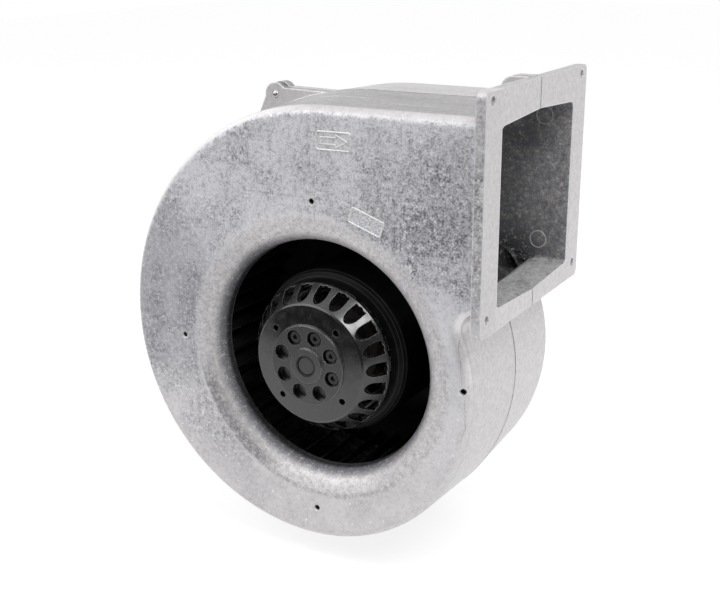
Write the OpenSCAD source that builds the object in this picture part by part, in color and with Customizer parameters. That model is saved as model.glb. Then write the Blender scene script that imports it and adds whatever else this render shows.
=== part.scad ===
// Single-inlet centrifugal fan: a cast scroll casing in two halves round a forward-curved
// impeller on an external-rotor motor. Millimetres. The origin is the fan axis in the plane
// of the flat inlet face, +X points out of the outlet, +Y runs back along the axis, +Z is up.

/* [Scroll casing] */
// Depth of the casing from the inlet face to the rear face
case_depth = 121; // [115:1:130]
// Wall round the scroll and duct, measured at the parting plane
side_wall = 4; // [3:0.5:5]
// Wall of the inlet face and of the rear face
face_wall = 5; // [4:0.5:6]
// Draft of the outer wall between the parting plane and a face
outer_draft = 2.2; // [1:0.1:3]
// Draft of the inner wall between the parting plane and a face
inner_draft = 2.6; // [1:0.1:3]
// Rounding of the outer edge round each face
edge_r = 6; // [4:0.5:8]
// Rounding of the inner corner behind each face
corner_r = 6; // [3:0.5:8]
// Distance of the outer wall of the first full quarter of the scroll from the impeller
scroll_gap = 25.86; // [25:0.01:30]
// Growth of the scroll radius from one quarter to the next
scroll_step = 16; // [14:0.5:18]
// Shift of the scroll towards the outlet
scroll_x = -1.8; // [-4:0.1:2]
// Shift of the scroll upwards
scroll_z = 1.3; // [-2:0.1:4]
// Radius of the nose of the cut-off between scroll and duct
nose_r = 5; // [4:0.5:7]
// Radius of the outside blend between scroll and duct
blend_r = 8; // [6:0.5:9]

/* [Casing ears and screws] */
// Radius of an ear round its screw
ear_r = 7.5; // [6.5:0.5:9]
// Thickness of one ear, back from the parting plane
ear_t = 6.5; // [5:0.5:9]
// Distance of a screw outside the scroll wall
ear_reach = 8.4; // [7:0.2:10]
// Spread of an ear's web towards the wall, from the direction of the ear
web_turn = 75; // [60:1:85]
// Length of the foot beside the ear at the outlet
ear_foot = 4; // [2:0.5:6]
// Distance of the outlet ear from the flange, and its depth in the duct wall
ear_set = 1; // [0.5:0.25:2]
// Nominal radius of the casing screws
case_screw_r = 2.5; // [2:0.25:3]
// Radius of a casing screw head
case_head_r = 4.4; // [4:0.2:5]
// Height of a casing screw head
case_head_h = 4; // [3:0.5:5]

/* [Outlet] */
// Distance of the flange face past the side of the scroll
outlet_reach = 8.8; // [8:0.1:16]
// Thickness of the outlet flange
flange_t = 6; // [5:0.5:8]
// Reach of the flange below the duct
flange_under = 6.3; // [5:0.1:8]
// Reach of the flange above the duct
flange_over = 13.7; // [12:0.1:16]
// Reach of the flange in front of the inlet face and behind the rear face
flange_reach = 14.5; // [12:0.5:18]
// Corner radius of the flange
flange_corner = 4; // [3:0.5:6]
// Clear height of the duct at the parting plane
duct_height = 106.5; // [104:0.1:108]
// Narrowing of the duct at the flange, on each side
duct_taper = 2; // [1:0.5:3]
// Length of that narrowing
taper_len = 44; // [30:1:50]
// Distance of the flange screw holes outside the casing faces
flange_hole_out = 6; // [5.5:0.25:8]
// Distance of the lower screw holes above the lower edge of the flange
flange_hole_rise = 10; // [9:0.5:11]
// Distance of the upper screw holes below the upper edge of the flange
flange_hole_drop = 5.5; // [5:0.25:7]
// Radius of a flange screw hole
flange_hole_r = 2.75; // [2.25:0.25:3.25]

/* [Inlet] */
// Radius of the inlet throat
throat_r = 73.7; // [70:0.1:75]
// Depth of the throat edge behind the inlet face
throat_end = 15.5; // [15.5:0.5:18]
// Radius of the rolled inlet lip
lip_r = 15; // [14:0.5:15]
// Height of the lip in front of the inlet face
lip_h = 0.4; // [0.3:0.1:0.8]
// Wall of the inlet lip and throat
lip_wall = 3; // [2.5:0.25:4]
// Number of tapped holes round the inlet
inlet_tap_count = 4; // [4:4:8]
// Distance of the tapped holes outside the throat
inlet_tap_out = 26.3; // [24:0.1:27]
// Core radius of the tapped holes round the inlet
inlet_tap_r = 1.65; // [1.25:0.05:2.1]
// Radius of the boss behind a tapped hole
inlet_boss_r = 4.5; // [4:0.5:5]
// Depth of the tapped holes
inlet_tap_depth = 10; // [8:0.5:11]

/* [Impeller] */
// Number of blades
blade_count = 40; // [34:1:44]
// Radius of the curve of a blade
blade_curve_r = 12; // [11:0.5:13]
// Angle that a blade turns through
blade_turn = 65; // [55:1:70]
// Sheet thickness of the blades
blade_t = 0.9; // [0.7:0.1:1.2]
// Front end of the impeller, behind the inlet face
impeller_front = 13; // [12:0.5:14]
// Clearance between the rotor cup and the rear wall
rear_gap = 12.5; // [9.5:0.5:15]
// Clearance between the inlet throat and the front ring
throat_gap = 1.3; // [0.8:0.1:2]
// Sheet thickness of the front ring and the back plate
impeller_sheet = 1.5; // [1:0.1:2]
// Edge of the ring and plate outside the blade tips
impeller_edge = 1; // [0.6:0.1:2]
// Number of screws between impeller and rotor cup
impeller_screw_count = 6; // [4:1:8]
// Nominal radius of those screws
impeller_screw_r = 1.6; // [1.4:0.1:2]
// Radius of their heads
impeller_head_r = 3.5; // [3:0.1:4]
// Height of their heads
impeller_head_h = 2.4; // [2:0.1:3]

/* [Rotor] */
// Turn of the rotor at rest
rotor_turn = 17.5; // [0:0.5:44.5]
// Outer radius of the rotor cup
cup_r = 53; // [52:0.5:54]
// Wall of the rotor cup
cup_wall = 3; // [2.5:0.25:3.5]
// Front face of the rotor cup, behind the inlet face
cup_front = 18; // [17:0.5:20]
// Rounding of the front edge of the cup
cup_round = 6; // [4:0.5:7]
// Width of the flange round the cup that carries the impeller
cup_flange_w = 9; // [8:0.5:11]
// Length of the cup behind that flange
cup_skirt = 21; // [18:0.5:24]
// Face of the end cap, in front of the inlet face
cap_face = 5.7; // [5:0.1:7]
// Radius of the cap face
cap_face_r = 37.8; // [36.5:0.1:39]
// Fall of the cap face from the disc back to its edge
cap_fall = 1.2; // [0.6:0.1:1.6]
// Rise of the disc in the middle of the cap over that edge
cap_disc_h = 3; // [2.5:0.25:4]
// Radius of that disc
cap_disc_r = 25.6; // [25:0.1:27]
// Rise of the hub on that disc
cap_hub_h = 1.3; // [0.8:0.1:2]
// Radius of the hub
cap_hub_r = 11.5; // [10.5:0.1:12]
// Radius of the rim of the vented shoulder
cap_rim_r = 47.8; // [47:0.1:48.5]
// Depth of that rim behind the inlet face
cap_rim = 9.2; // [8:0.2:10]
// Height of the straight edge of that rim
rim_edge = 0.8; // [0.5:0.1:1.2]
// Wall of that shoulder
shoulder_wall = 1.6; // [1.4:0.1:2]
// Wall of the end cap
cap_wall = 3.5; // [3:0.25:4]
// Radius of the neck that seats on the cup
cap_neck_r = 44.5; // [43.5:0.25:45]
// Wall of that neck
neck_wall = 2; // [1.5:0.25:2.5]
// Thickness of the ring at the end of the neck that seats on the cup
neck_seat = 2; // [1.5:0.25:3]
// Step of the neck that enters the cup
neck_step = 2; // [1.5:0.25:2.5]
// Break of the turned edges of the cap
cap_chamfer = 0.6; // [0.3:0.1:0.9]
// Number of vent slots
slot_count = 22; // [18:1:23]
// Width of a vent slot
slot_w = 8.4; // [7:0.2:8.8]
// Turn of the first vent slot from the first recess
slot_turn = -3.5; // [-8:0.5:8]
// Metal between each end of a vent slot and the edge of the shoulder there
slot_margin = 1; // [0.8:0.1:1.4]
// Number of recesses in the cap
recess_count = 8; // [6:1:8]
// Circle radius of the recesses in the cap
recess_pitch_r = 18.6; // [18.2:0.1:19]
// Radius of a recess
recess_r = 5; // [4.5:0.1:5.4]
// Depth of a recess
recess_depth = 4.2; // [3.5:0.1:4.5]
// Number of recesses that hold a hub screw
hub_screw_count = 4; // [3:1:6]
// Shank radius of a hub screw
hub_screw_r = 2; // [1.5:0.1:2.2]
// Head radius of a hub screw
hub_head_r = 3.5; // [3:0.1:3.9]
// Distance of a hub screw head below the disc
hub_head_sink = 1.4; // [0.6:0.1:1.8]
// Number of tapped pulling holes
pull_count = 4; // [2:1:4]
// Circle radius of the tapped pulling holes
pull_pitch_r = 30.5; // [29.5:0.1:32]
// Core radius of a pulling hole
pull_r = 2.1; // [1.65:0.05:2.4]

/* [Motor] */
// Radius of the shaft in the bearings
shaft_r = 6; // [5.5:0.1:6.2]
// Outer radius of a bearing
bearing_r = 16; // [15.8:0.1:16.5]
// Width of a bearing
bearing_w = 10; // [9:0.5:11]
// Number of balls in a bearing
ball_count = 7; // [6:1:8]
// Front end of the front bearing
bearing_front = 16; // [15:0.5:17]
// Wall of the tube that carries the bearings and the stator
tube_wall = 3.5; // [3:0.25:4]
// Thickness of the preload washer
washer_t = 0.8; // [0.5:0.1:1.2]
// Thickness of the retaining rings
ring_t = 1.2; // [1:0.1:1.5]
// Front end of the stator stack
stack_front = 36; // [34:1:38]
// Length of the stator stack
stack_len = 40; // [36:1:42]
// Radial depth of the rotor laminations
core_w = 9.55; // [9.05:0.25:10.55]
// Play of a winding in its slot, along the tooth
coil_play = 1.2; // [0.8:0.1:1.5]
// Width of the mouth of a stator slot
slot_mouth = 2.4; // [2:0.1:3]
// Air gap between stator and rotor
air_gap = 0.45; // [0.35:0.05:0.6]
// Number of stator teeth
tooth_count = 12; // [10:1:12]
// Width of the stator yoke round the bearing tube
yoke_w = 6.5; // [5:0.5:7]
// Depth of the pole shoes at the air gap
shoe_w = 4; // [3:0.5:4.5]
// Width of a stator tooth
tooth_w = 5.5; // [5:0.25:6]
// Thickness of the slot insulation and the end plates
insulation_t = 1.2; // [0.8:0.1:1.5]
// Thickness of a winding
coil_t = 2.4; // [2:0.1:2.6]
// Height of the winding heads over the stack
coil_head = 5; // [4:0.5:6]
// Number of bars in the rotor cage
bar_count = 22; // [18:1:26]
// Radius of a cage bar
bar_r = 2; // [1.5:0.1:2.4]
// Metal between the cage bars and the air gap
bar_wall = 1.5; // [1:0.1:2]
// Width of the end rings of the cage
cage_ring_w = 6; // [5:0.5:8]
// Share of a bearing's half section that each race takes
race_share = 0.58; // [0.5:0.02:0.62]
// Share of that half section that the balls take
ball_share = 0.6; // [0.55:0.01:0.64]
// Depth of the retaining rings in their grooves
ring_bite = 0.9; // [0.6:0.1:1.1]
// Reach of the retaining rings in front of the races
ring_reach = 2; // [1.6:0.1:2.4]
// Land of the shaft and the tube past their last groove or seat
end_land = 1; // [0.6:0.1:2]
// Height of the shoulders that the races seat on
shoulder_h = 1.5; // [1.2:0.1:2]
// Distance of the shaft end below the face of the hub
shaft_sink = 0.6; // [0.3:0.1:1]

/* [Motor flange] */
// Radius of the opening in the rear face
rear_opening_r = 56; // [55:0.5:58]
// Radius of the motor flange
plate_r = 68; // [67:0.5:72]
// Thickness of the motor flange
plate_t = 4; // [3:0.5:5]
// Radius of the hub that holds the bearing tube
plate_hub_r = 25; // [24:0.5:28]
// Wall of the spigot that centres the motor flange
spigot_wall = 4; // [3:0.5:5]
// Number of ribs on the motor flange
rib_count = 8; // [6:1:10]
// Height of the ribs
rib_h = 4; // [3:0.5:6]
// Width of the ribs
rib_w = 3; // [2:0.5:4]
// Number of motor flange screws
plate_screw_count = 4; // [4:1:6]
// Circle radius of the motor flange screws
plate_screw_pitch_r = 62; // [61:0.5:64]
// Nominal radius of the motor flange screws
plate_screw_r = 2; // [1.5:0.25:2.25]
// Radius of a motor flange screw head
plate_head_r = 3.8; // [3.4:0.1:4.2]
// Height of a motor flange screw head
plate_head_h = 3.6; // [3:0.1:4]
// Thickness of the washers under those heads
plate_washer_t = 1; // [0.6:0.1:1.2]
// Radius of those washers
plate_washer_r = 4.4; // [4:0.1:4.8]
// Radius of the bosses that those screws enter
plate_boss_r = 5.2; // [4.6:0.1:5.6]
// Height of those bosses inside the rear face
plate_boss_h = 3; // [2:0.5:5]
// Distance of the cable grommet from the axis
grommet_pitch_r = 41; // [38:0.5:43]
// Radius of the cable hole in the grommet
cable_r = 3.5; // [3:0.25:4]
// Wall of the grommet in the motor flange
grommet_wall = 3; // [2:0.25:3.5]
// Lip of the grommet round its hole
grommet_lip = 1.8; // [1.4:0.1:2.2]
// Length of the nose of the grommet
grommet_nose = 3.8; // [3:0.2:5]

/* [Fits] */
// Gap of a pressed or seated round fit
seat_gap = 0.04; // [0.02:0.01:0.08]
// Play between a screw and its clearance hole
screw_play = 0.25; // [0.2:0.05:0.4]
// Play between balls and raceways
ball_play = 0.06; // [0.04:0.01:0.1]

/* [Hidden] */
$fn = 96;
// Cutting tools reach this far past the faces they cut
past = 1;
// Curved cutters cross their walls by this much, so that no two surfaces only graze
bite = 0.2;

half = case_depth / 2;
cup_back = case_depth - face_wall - rear_gap;
impeller_back = cup_back - cup_skirt;
blade_len = impeller_back - impeller_front - impeller_sheet;
blade_in_r = throat_r + lip_wall + throat_gap + impeller_edge;
blade_out_r = norm([blade_in_r + blade_curve_r * sin(blade_turn), blade_curve_r * (1 - cos(blade_turn))]);
impeller_r = blade_out_r + impeller_edge;
impeller_screw_pitch_r = cup_r + cup_flange_w / 2;

scroll_r = impeller_r + scroll_gap;
duct_top = scroll_z + scroll_step / 2 + quarter_r(3);
duct_floor = duct_top - side_wall - duct_height;
floor_out = duct_floor - side_wall;
flange_x = quarter_centre(0)[0] + quarter_r(0) + outlet_reach;
flange_back = flange_x - flange_t;
flange_low = floor_out - flange_under;
flange_high = duct_top + flange_over;

cup_in_r = cup_r - cup_wall;
// Fall of the shoulder for each unit of radius, and its wall measured along the axis
shoulder_fall = (cap_rim - rim_edge + cap_face) / (cap_rim_r - cap_face_r);
shoulder_drop = shoulder_wall * norm([1, shoulder_fall]);
cap_hub_face = -cap_face - cap_disc_h - cap_hub_h;
cap_disc_face = -cap_face - cap_disc_h;

bearing_end = bearing_front + bearing_w;
shoulder_front = bearing_end + washer_t;
rear_bearing = cup_back - bearing_w - ring_t - end_land;
shaft_step_r = shaft_r + shoulder_h;
bearing_half = (bearing_r - shaft_r) / 2;
ball_pitch_r = shaft_r + bearing_half;
race_groove_r = ball_share * bearing_half;
tube_r = bearing_r + tube_wall;
tube_step_r = bearing_r - shoulder_h;
ring_end = rear_bearing + bearing_w + ring_t;
shaft_end = ring_end + end_land;
yoke_r = tube_r + yoke_w;
stator_r = cup_in_r - core_w - air_gap;
shoe_r = stator_r - shoe_w;
stack_end = stack_front + stack_len;
rotor_in_r = stator_r + air_gap;
plate_front = case_depth;
plate_back = plate_front + plate_t;
plate_hub_front = rear_bearing + bearing_w;
spigot_r = rear_opening_r - seat_gap;
plate_screw_len = plate_washer_t + plate_t + face_wall + plate_boss_h;
rib_top = plate_back + rib_h;
grommet_hole_r = cable_r + grommet_wall;
bar_pitch_r = rotor_in_r + bar_wall + bar_r;
// Socket of a screw head: its depth and its width as shares of the head
socket_depth = 0.55;
socket_width = 0.55;

// Quarter k of the scroll is an arc about one corner of a square, so each meets the next
// without a kink. Quarter 0 holds the cut-off, then they run clockwise seen from the inlet.
function quarter_r(k) = scroll_r + (k - 1) * scroll_step;
function quarter_centre(k) = [
    scroll_x + scroll_step / 2 * (k == 0 || k == 3 ? 1 : -1),
    -scroll_z + scroll_step / 2 * (k <= 1 ? 1 : -1)
];
function along(angle) = [cos(angle), sin(angle)];
function unit(v) = v / norm(v);

// Distance of the scroll wall from the fan axis, in a direction given clockwise from +X
function scroll_reach(angle) =
    let (k = floor(angle / 90) + 1, c = quarter_centre(k), lean = c * along(angle))
    lean + sqrt(quarter_r(k) ^ 2 - c * c + lean ^ 2);

// Ears round the scroll: direction clockwise from +X, then how far the web runs each way
scroll_ears = [[100, 9, 9], [150, 9, 9], [200, 9, 9], [248.4, 9, 18]];
outlet_ear = [flange_back - ear_r - ear_set, -duct_top - ear_r + ear_set];
ear_points = concat([for (e = scroll_ears) (scroll_reach(e[0]) + ear_reach) * along(e[0])], [outlet_ear]);

// The fan is drawn lying on its inlet face, x to the outlet, y down and z back, then stood up
module stand() {
    rotate([-90, 0, 0]) children();
}

module spin() {
    stand() rotate([0, 0, rotor_turn]) children();
}

module ring_of(count, radius) {
    for (i = [0:count - 1])
        rotate([0, 0, i * 360 / count]) translate([radius, 0, 0]) children();
}

module tube(z0, z1, outer, inner) {
    translate([0, 0, z0]) difference() {
        cylinder(h = z1 - z0, r = outer);
        translate([0, 0, -past]) cylinder(h = z1 - z0 + 2 * past, r = inner);
    }
}

module rounded_rect(size, r) {
    square([size[0], size[1] - 2 * r], center = true);
    square([size[0] - 2 * r, size[1]], center = true);
    for (sx = [-1, 1], sy = [-1, 1])
        translate([sx * (size[0] / 2 - r), sy * (size[1] / 2 - r)]) circle(r = r);
}

// Screw along +z with its head at the top and a hexagon socket
module socket_screw(shank_r, shank_len, head_r, head_h) {
    translate([0, 0, -shank_len]) cylinder(h = shank_len, r = shank_r);
    difference() {
        cylinder(h = head_h, r = head_r);
        translate([0, 0, head_h * (1 - socket_depth)])
            cylinder(h = head_h, r = head_r * socket_width, $fn = 6);
    }
}

// Half section of the scroll from the axis out to its wall
module half_section(reach, face_z, draft, r, top) {
    polygon([
        [0, face_z], [reach - draft - r, face_z], [reach - draft, face_z + r],
        [reach, half], [reach, top], [0, top]
    ]);
    translate([reach - draft - r, face_z + r]) circle(r = r);
}

// Half section of the duct, height across and depth up
module duct_section(low, high, face_z, draft, r, top) {
    polygon([
        [low + draft + r, face_z], [high - draft - r, face_z], [high - draft, face_z + r],
        [high, half], [high, top], [low, top], [low, half], [low + draft, face_z + r]
    ]);
    for (h = [low + draft + r, high - draft - r])
        translate([h, face_z + r]) circle(r = r);
}

// Sweeps a section with height across and depth up along the duct, up to x = x1
module duct_sweep(x0, x1) {
    translate([x1, 0, 0]) rotate([90, 0, -90]) linear_extrude(height = x1 - x0) children();
}

// Scroll and duct together, one half deep, shrunk by inset all round
module half_volute(inset, face_z, draft, r, top, x1) {
    for (k = [0:3])
        translate(quarter_centre(k)) rotate([0, 0, (k - 1) * 90])
            rotate_extrude(angle = 90) half_section(quarter_r(k) - inset, face_z, draft, r, top);
    translate([0, 0, face_z]) cylinder(h = top - face_z, r = 2 * scroll_step);
    duct_sweep(quarter_centre(3)[0], x1)
        duct_section(floor_out + inset, duct_top - inset, face_z, draft, r, top);
}

// Round cutter that rests against quarter 0 of the scroll and against the line at height h
function rest_point(radius, h) =
    let (c = quarter_centre(0), dy = -h - c[1])
    [c[0] + sqrt(radius ^ 2 - dy ^ 2), -h];

// Removes the sharp tip of the cut-off, so that a round nose is left
module nose_cut() {
    inner = quarter_r(0) - side_wall;
    n = rest_point(inner + nose_r, duct_floor - nose_r) + bite * along(225);
    to_scroll = unit(quarter_centre(0) - n);
    difference() {
        translate([0, 0, face_wall]) linear_extrude(height = half - face_wall + past) polygon([
            n + nose_r * to_scroll, n + (nose_r + 2 * inner_draft) * to_scroll,
            n + [-3 * nose_r, -nose_r - 2 * inner_draft], n + [0, -nose_r - 2 * inner_draft],
            n + [0, -nose_r], n
        ]);
        translate([n[0], n[1], face_wall - past])
            cylinder(h = half - face_wall + 3 * past, r1 = nose_r + inner_draft, r2 = nose_r);
    }
}

// Fills the outside corner between scroll and duct floor with a hollow curve, whose edge at the
// face is rounded as the edges beside it are
module corner_blend() {
    b = rest_point(quarter_r(0) + blend_r, floor_out - blend_r) + bite * along(225);
    to_scroll = unit(quarter_centre(0) - b);
    face_r = blend_r + outer_draft;
    rim_r = face_r + edge_r;
    difference() {
        linear_extrude(height = half)
            polygon([b, b + rim_r * to_scroll, b + [-2 * rim_r, -rim_r], b + [0, -rim_r]]);
        translate(b) rotate_extrude() difference() {
            polygon([
                [0, -past], [rim_r, -past], [rim_r, 0], [face_r, edge_r], [blend_r, half],
                [blend_r, half + past], [0, half + past]
            ]);
            translate([rim_r, edge_r]) circle(r = edge_r);
        }
    }
}

module ear_webs() {
    // The corners of a web lie just inside the round of its ear
    grip_r = ear_r - bite;
    translate([0, 0, half - ear_t]) linear_extrude(height = ear_t) {
        for (e = ear_points) translate(e) circle(r = ear_r);
        for (i = [0:len(scroll_ears) - 1]) {
            a = scroll_ears[i][0];
            low = a - scroll_ears[i][1];
            high = a + scroll_ears[i][2];
            polygon([
                (scroll_reach(low) - side_wall / 2) * along(low),
                ear_points[i] + grip_r * along(a - web_turn), ear_points[i] + grip_r * along(a + web_turn),
                (scroll_reach(high) - side_wall / 2) * along(high)
            ]);
        }
        polygon([
            outlet_ear + [-ear_r - ear_foot, ear_r + ear_set], outlet_ear + grip_r * along(-90 - web_turn),
            outlet_ear + [0, -ear_r], [flange_back + past, outlet_ear[1] - ear_r],
            [flange_back + past, outlet_ear[1] + ear_r + ear_set]
        ]);
    }
}

module flange_half() {
    mid = (flange_low + flange_high) / 2;
    depth = case_depth + 2 * flange_reach;
    duct_sweep(flange_back, flange_x) intersection() {
        translate([mid, half]) rounded_rect([flange_high - flange_low, depth], flange_corner);
        translate([flange_low - past, -flange_reach - past])
            square([flange_high - flange_low + 2 * past, depth / 2 + past]);
    }
}

module duct_taper_wedge() {
    translate([0, -duct_floor, 0]) rotate([90, 0, 0]) linear_extrude(height = duct_height)
        polygon([
            [flange_x - taper_len, face_wall - past], [flange_x, face_wall - past],
            [flange_x, face_wall + duct_taper], [flange_x - taper_len, face_wall]
        ]);
}

// One casing half with its share of the flange, before the inlet or motor opening
module casing_half(screw_hole_r) {
    difference() {
        union() {
            difference() {
                union() {
                    half_volute(0, 0, outer_draft, edge_r, half, flange_x);
                    corner_blend();
                    ear_webs();
                    flange_half();
                }
                half_volute(side_wall, face_wall, inner_draft, corner_r, half + past, flange_x + past);
                nose_cut();
            }
            duct_taper_wedge();
        }
        for (e = ear_points)
            translate([e[0], e[1], half - ear_t - past]) cylinder(h = ear_t + 2 * past, r = screw_hole_r);
        for (h = [flange_low + flange_hole_rise, flange_high - flange_hole_drop])
            translate([flange_back - past, -h, -flange_hole_out])
                rotate([0, 90, 0]) cylinder(h = flange_t + 2 * past, r = flange_hole_r);
    }
}

module inlet_lip() {
    lip_centre = [throat_r + lip_r, lip_r - lip_h];
    rotate_extrude() {
        intersection() {
            translate(lip_centre) difference() {
                circle(r = lip_r);
                circle(r = lip_r - lip_wall);
            }
            union() {
                translate([throat_r - past, -lip_h - past])
                    square([lip_r + past, lip_centre[1] + lip_h + past]);
                translate([lip_centre[0] - past, -lip_h - past])
                    square([lip_r + past, lip_h + past + face_wall - bite]);
            }
        }
        translate([throat_r, lip_centre[1] - bite])
            square([lip_wall, throat_end - lip_centre[1] + bite]);
    }
}

module front_housing() color("silver") stand() difference() {
    union() {
        difference() {
            casing_half(case_screw_r - seat_gap);
            translate([0, 0, -past]) cylinder(h = face_wall + 2 * past, r = throat_r + lip_r);
        }
        inlet_lip();
        ring_of(inlet_tap_count, throat_r + inlet_tap_out) translate([0, 0, face_wall - past])
            cylinder(h = inlet_tap_depth - face_wall + 2 * past, r = inlet_boss_r);
    }
    ring_of(inlet_tap_count, throat_r + inlet_tap_out) translate([0, 0, -past])
        cylinder(h = inlet_tap_depth + past, r = inlet_tap_r);
}

module rear_housing() color("silver") stand() {
    boss_front = case_depth - face_wall - plate_boss_h;
    cut = case_depth - boss_front + 2 * past;
    difference() {
        union() {
            translate([0, 0, case_depth]) mirror([0, 0, 1]) casing_half(case_screw_r + screw_play);
            ring_of(plate_screw_count, plate_screw_pitch_r) translate([0, 0, boss_front])
                cylinder(h = plate_boss_h + past, r = plate_boss_r);
        }
        translate([0, 0, boss_front - past]) cylinder(h = cut, r = rear_opening_r);
        ring_of(plate_screw_count, plate_screw_pitch_r) translate([0, 0, boss_front - past])
            cylinder(h = cut, r = plate_screw_r - seat_gap);
    }
}

module housing_screws() color("gainsboro") stand()
    for (e = ear_points) translate([e[0], e[1], half + ear_t])
        socket_screw(case_screw_r - 2 * seat_gap, 2 * ear_t, case_head_r, case_head_h);

module motor_flange() color("darkgray") stand() difference() {
    union() {
        translate([0, 0, plate_front]) cylinder(h = plate_t, r = plate_r);
        tube(plate_front - face_wall, plate_front + past, spigot_r, spigot_r - spigot_wall);
        translate([0, 0, plate_hub_front]) cylinder(h = rib_top - plate_hub_front, r = plate_hub_r);
        for (i = [0:rib_count - 1]) rotate([0, 0, (i + 0.5) * 360 / rib_count])
            translate([0, -rib_w / 2, plate_back - past]) cube([spigot_r - rib_w / 2, rib_w, rib_h + past]);
        tube(plate_back - past, rib_top, spigot_r, spigot_r - rib_w);
    }
    translate([0, 0, plate_hub_front - past])
        cylinder(h = plate_front - plate_hub_front + past, r = tube_r + seat_gap);
    ring_of(plate_screw_count, plate_screw_pitch_r) translate([0, 0, plate_front - past])
        cylinder(h = plate_t + 2 * past, r = plate_screw_r + screw_play);
    translate([0, grommet_pitch_r, plate_front - past])
        cylinder(h = plate_t + 2 * past, r = grommet_hole_r);
}

module motor_flange_washers() color("gainsboro") stand()
    ring_of(plate_screw_count, plate_screw_pitch_r)
        tube(plate_back, plate_back + plate_washer_t, plate_washer_r, plate_screw_r + screw_play);

module motor_flange_screws() color("gainsboro") stand()
    ring_of(plate_screw_count, plate_screw_pitch_r) translate([0, 0, plate_back + plate_washer_t])
        socket_screw(plate_screw_r - 2 * seat_gap, plate_screw_len, plate_head_r, plate_head_h);

module cable_grommet() color("black") stand() translate([0, grommet_pitch_r, plate_front]) {
    neck = grommet_hole_r - seat_gap;
    lip = grommet_hole_r + grommet_lip;
    rotate_extrude() polygon([
        [cable_r, -grommet_lip], [lip, -grommet_lip], [lip, 0], [neck, 0], [neck, plate_t], [lip, plate_t],
        [cable_r + grommet_wall / 2, plate_t + grommet_nose], [cable_r, plate_t + grommet_nose]
    ]);
}

module bearing_tube() color("lightgray") stand() {
    bore = bearing_r + seat_gap;
    groove = bearing_r + ring_bite;
    seat_end = rear_bearing + bearing_w;
    rotate_extrude() polygon([
        [bore, bearing_front - end_land], [tube_r, bearing_front - end_land], [tube_r, plate_front],
        [bore, plate_front], [bore, ring_end], [groove, ring_end], [groove, seat_end], [bore, seat_end],
        [bore, rear_bearing], [tube_step_r, rear_bearing], [tube_step_r, shoulder_front],
        [bore, shoulder_front]
    ]);
}

// Plan of one stator lamination
module lamination_plan() difference() {
    union() {
        circle(r = yoke_r);
        for (i = [0:tooth_count - 1]) rotate(i * 360 / tooth_count)
            translate([0, -tooth_w / 2]) square([shoe_r + past, tooth_w]);
        difference() {
            circle(r = stator_r);
            circle(r = shoe_r);
        }
    }
    circle(r = tube_r + seat_gap);
    for (i = [0:tooth_count - 1]) rotate((i + 0.5) * 360 / tooth_count)
        translate([shoe_r - past, -slot_mouth / 2]) square([shoe_w + 2 * past, slot_mouth]);
}

module stator_core() color("dimgray") stand()
    translate([0, 0, stack_front]) linear_extrude(height = stack_len) lamination_plan();

module front_end_plate() color("#2b2724") stand()
    translate([0, 0, stack_front - insulation_t]) linear_extrude(height = insulation_t) lamination_plan();

module rear_end_plate() color("#2b2724") stand()
    translate([0, 0, stack_end]) linear_extrude(height = insulation_t) lamination_plan();

module stator_windings() color("peru") stand() {
    inner = [tooth_w + 2 * insulation_t, stack_len + 2 * insulation_t];
    outer = [inner[0] + 2 * coil_t, inner[1] + 2 * coil_head];
    for (i = [0:tooth_count - 1]) rotate([0, 0, i * 360 / tooth_count])
        translate([yoke_r + coil_play, 0, (stack_front + stack_end) / 2]) rotate([90, 0, 90])
            linear_extrude(height = shoe_r - yoke_r - 2 * coil_play) difference() {
                rounded_rect(outer, coil_t);
                rounded_rect(inner, insulation_t / 2);
            }
}

module raceway() {
    translate([ball_pitch_r, bearing_w / 2]) circle(r = race_groove_r);
}

module outer_race(z0) translate([0, 0, z0]) rotate_extrude() difference() {
    translate([bearing_r - race_share * bearing_half, 0]) square([race_share * bearing_half, bearing_w]);
    raceway();
}

module inner_race(z0) translate([0, 0, z0]) rotate_extrude() difference() {
    translate([shaft_r + seat_gap, 0]) square([race_share * bearing_half - seat_gap, bearing_w]);
    raceway();
}

module balls(z0) ring_of(ball_count, ball_pitch_r)
    translate([0, 0, z0 + bearing_w / 2]) sphere(r = race_groove_r - ball_play, $fn = 48);

module front_bearing_outer_race() color("lightsteelblue") stand() outer_race(bearing_front);
module front_bearing_inner_race() color("lightsteelblue") spin() inner_race(bearing_front);
module front_bearing_balls() color("white") spin() balls(bearing_front);
module rear_bearing_outer_race() color("lightsteelblue") stand() outer_race(rear_bearing);
module rear_bearing_inner_race() color("lightsteelblue") spin() inner_race(rear_bearing);
module rear_bearing_balls() color("white") spin() balls(rear_bearing);

module preload_washer() color("gray") stand()
    tube(bearing_end, shoulder_front, bearing_r - seat_gap, tube_step_r);

module tube_retaining_ring() color("gray") stand()
    tube(rear_bearing + bearing_w, ring_end, bearing_r + ring_bite - seat_gap, bearing_r - ring_reach);

module shaft_retaining_ring() color("gray") spin()
    tube(rear_bearing + bearing_w, ring_end, shaft_r + ring_reach, shaft_r - ring_bite + seat_gap);

module shaft() color("silver") spin() {
    nose = cap_hub_face + shaft_sink;
    groove = shaft_r - ring_bite;
    seat_end = rear_bearing + bearing_w;
    rotate_extrude() polygon([
        [0, nose], [shaft_r - cap_chamfer, nose], [shaft_r, nose + cap_chamfer], [shaft_r, bearing_end],
        [shaft_step_r, bearing_end], [shaft_step_r, rear_bearing], [shaft_r, rear_bearing],
        [shaft_r, seat_end], [groove, seat_end], [groove, ring_end], [shaft_r, ring_end],
        [shaft_r, shaft_end], [0, shaft_end]
    ]);
}

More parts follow.
